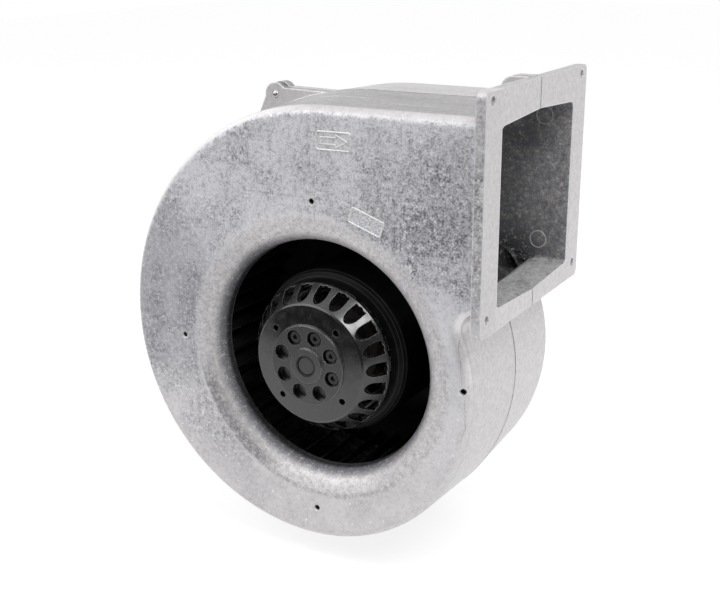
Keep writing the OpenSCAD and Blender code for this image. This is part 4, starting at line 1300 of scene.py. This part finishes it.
# %% [markdown]
# The studio has a white floor that runs away behind the object.
# It stops a little in front of the fan, as a table does,
# so the upper front of the casting and the top of the rotor mirror the dimmer end of the room.
# To the camera and in mirrors the floor glows a little, so that it is white and still holds the shadow.

# %% Floor
FLOOR_FRONT = -0.39
FLOOR_BACK = 6.0
FLOOR_SIDE = 4.0
FLOOR_WHITE = grey(0.80)
FLOOR_GLOW = 0.78
SHADOW_WHITE = grey(0.28)

floor_z = cad_box[0][2]
corners = [(-FLOOR_SIDE, FLOOR_FRONT, floor_z), (FLOOR_SIDE, FLOOR_FRONT, floor_z),
           (FLOOR_SIDE, FLOOR_BACK, floor_z), (-FLOOR_SIDE, FLOOR_BACK, floor_z)]
floor_mesh = bpy.data.meshes.new("floor")
floor_mesh.from_pydata(corners, [], [(0, 1, 2, 3)])
floor = bpy.data.objects.new("floor", floor_mesh)
bpy.context.scene.collection.objects.link(floor)

table_white = bpy.data.materials.new("table_white")
table_white.use_nodes = True
tree = table_white.node_tree
tree.nodes.clear()
bounce = put(tree, "BsdfDiffuse", Color=FLOOR_WHITE)
glow = put(tree, "Emission", Color=grey(1.0), Strength=FLOOR_GLOW)
shadowed = put(tree, "BsdfDiffuse", Color=SHADOW_WHITE)
backdrop = put(tree, "AddShader")
tree.links.new(glow.outputs[0], backdrop.inputs[0])
tree.links.new(shadowed.outputs[0], backdrop.inputs[1])
ray = put(tree, "LightPath").outputs
seen = largest(tree, ray["Is Camera Ray"], ray["Is Glossy Ray"], ray["Is Transmission Ray"])
which = put(tree, "MixShader", Fac=seen)
tree.links.new(bounce.outputs[0], which.inputs[1])
tree.links.new(backdrop.outputs[0], which.inputs[2])
sink = put(tree, "OutputMaterial")
tree.links.new(which.outputs[0], sink.inputs["Surface"])
floor_mesh.materials.append(table_white)
print("floor at z =", round(floor_z, 4))

# %% [markdown]
# The room is white but rather dim, with a bright ceiling and a lit wall low behind the fan.
# Walls could be built, but a world that knows the direction of each ray does the same with no geometry.
# The camera sees plain white, and mirrors do where they look at the lit wall.

# %% Room light
ROOM_DEPTH = (-0.5, 0.0)
ROOM_LEVEL = (0.06, 0.25)
WALL_DEPTH = (-0.15, 0.25)
WALL_TOP = (0.42, 0.30)
WALL_LEVEL = 0.75
CEILING = (0.58, 0.80)
CEILING_LEVEL = 0.95

world = bpy.data.worlds.new("studio")
bpy.context.scene.world = world
world.use_nodes = True
tree = world.node_tree
room = tree.nodes["Background"]
room.inputs["Color"].default_value = grey(1.0)
_, depth, height = split(tree, put(tree, "TexCoord").outputs["Generated"])
lit_wall = times(tree, ease(tree, depth, *WALL_DEPTH), ease(tree, height, *WALL_TOP))
level = total(tree, ease(tree, depth, *ROOM_DEPTH, *ROOM_LEVEL), times(tree, lit_wall, WALL_LEVEL),
              times(tree, ease(tree, height, *CEILING), CEILING_LEVEL))
ray = put(tree, "LightPath").outputs
mirrored = largest(tree, ray["Is Glossy Ray"], ray["Is Transmission Ray"])
strength = largest(tree, level, ray["Is Camera Ray"], times(tree, mirrored, lit_wall))
tree.links.new(strength, room.inputs["Strength"])
print("room of", len(tree.nodes), "nodes")

# %% [markdown]
# Two soft lamps shape the fan: a smaller key from the upper right, and a wide fill from the upper left.
# Discs that face the origin give round highlights on the black cap, as studio lamps do.

# %% Lamps
def soft_lamp(name, toward, reach, width, power):
    lamp = bpy.data.lights.new(name, "AREA")
    lamp.shape = "DISK"
    lamp.size = width
    lamp.energy = power
    made = bpy.data.objects.new(name, lamp)
    made.location = Vector(toward).normalized() * reach
    made.rotation_euler = Vector(toward).to_track_quat("Z", "Y").to_euler()
    bpy.context.scene.collection.objects.link(made)
    print(name, "lamp:", power, "W,", reach, "m away")


soft_lamp("key", toward=(0.55, -0.25, 0.80), reach=1.6, width=0.8, power=12.0)
soft_lamp("fill", toward=(-0.55, -0.60, 0.58), reach=1.8, width=2.0, power=20.0)
bpy.context.scene.view_settings.view_transform = "Standard"
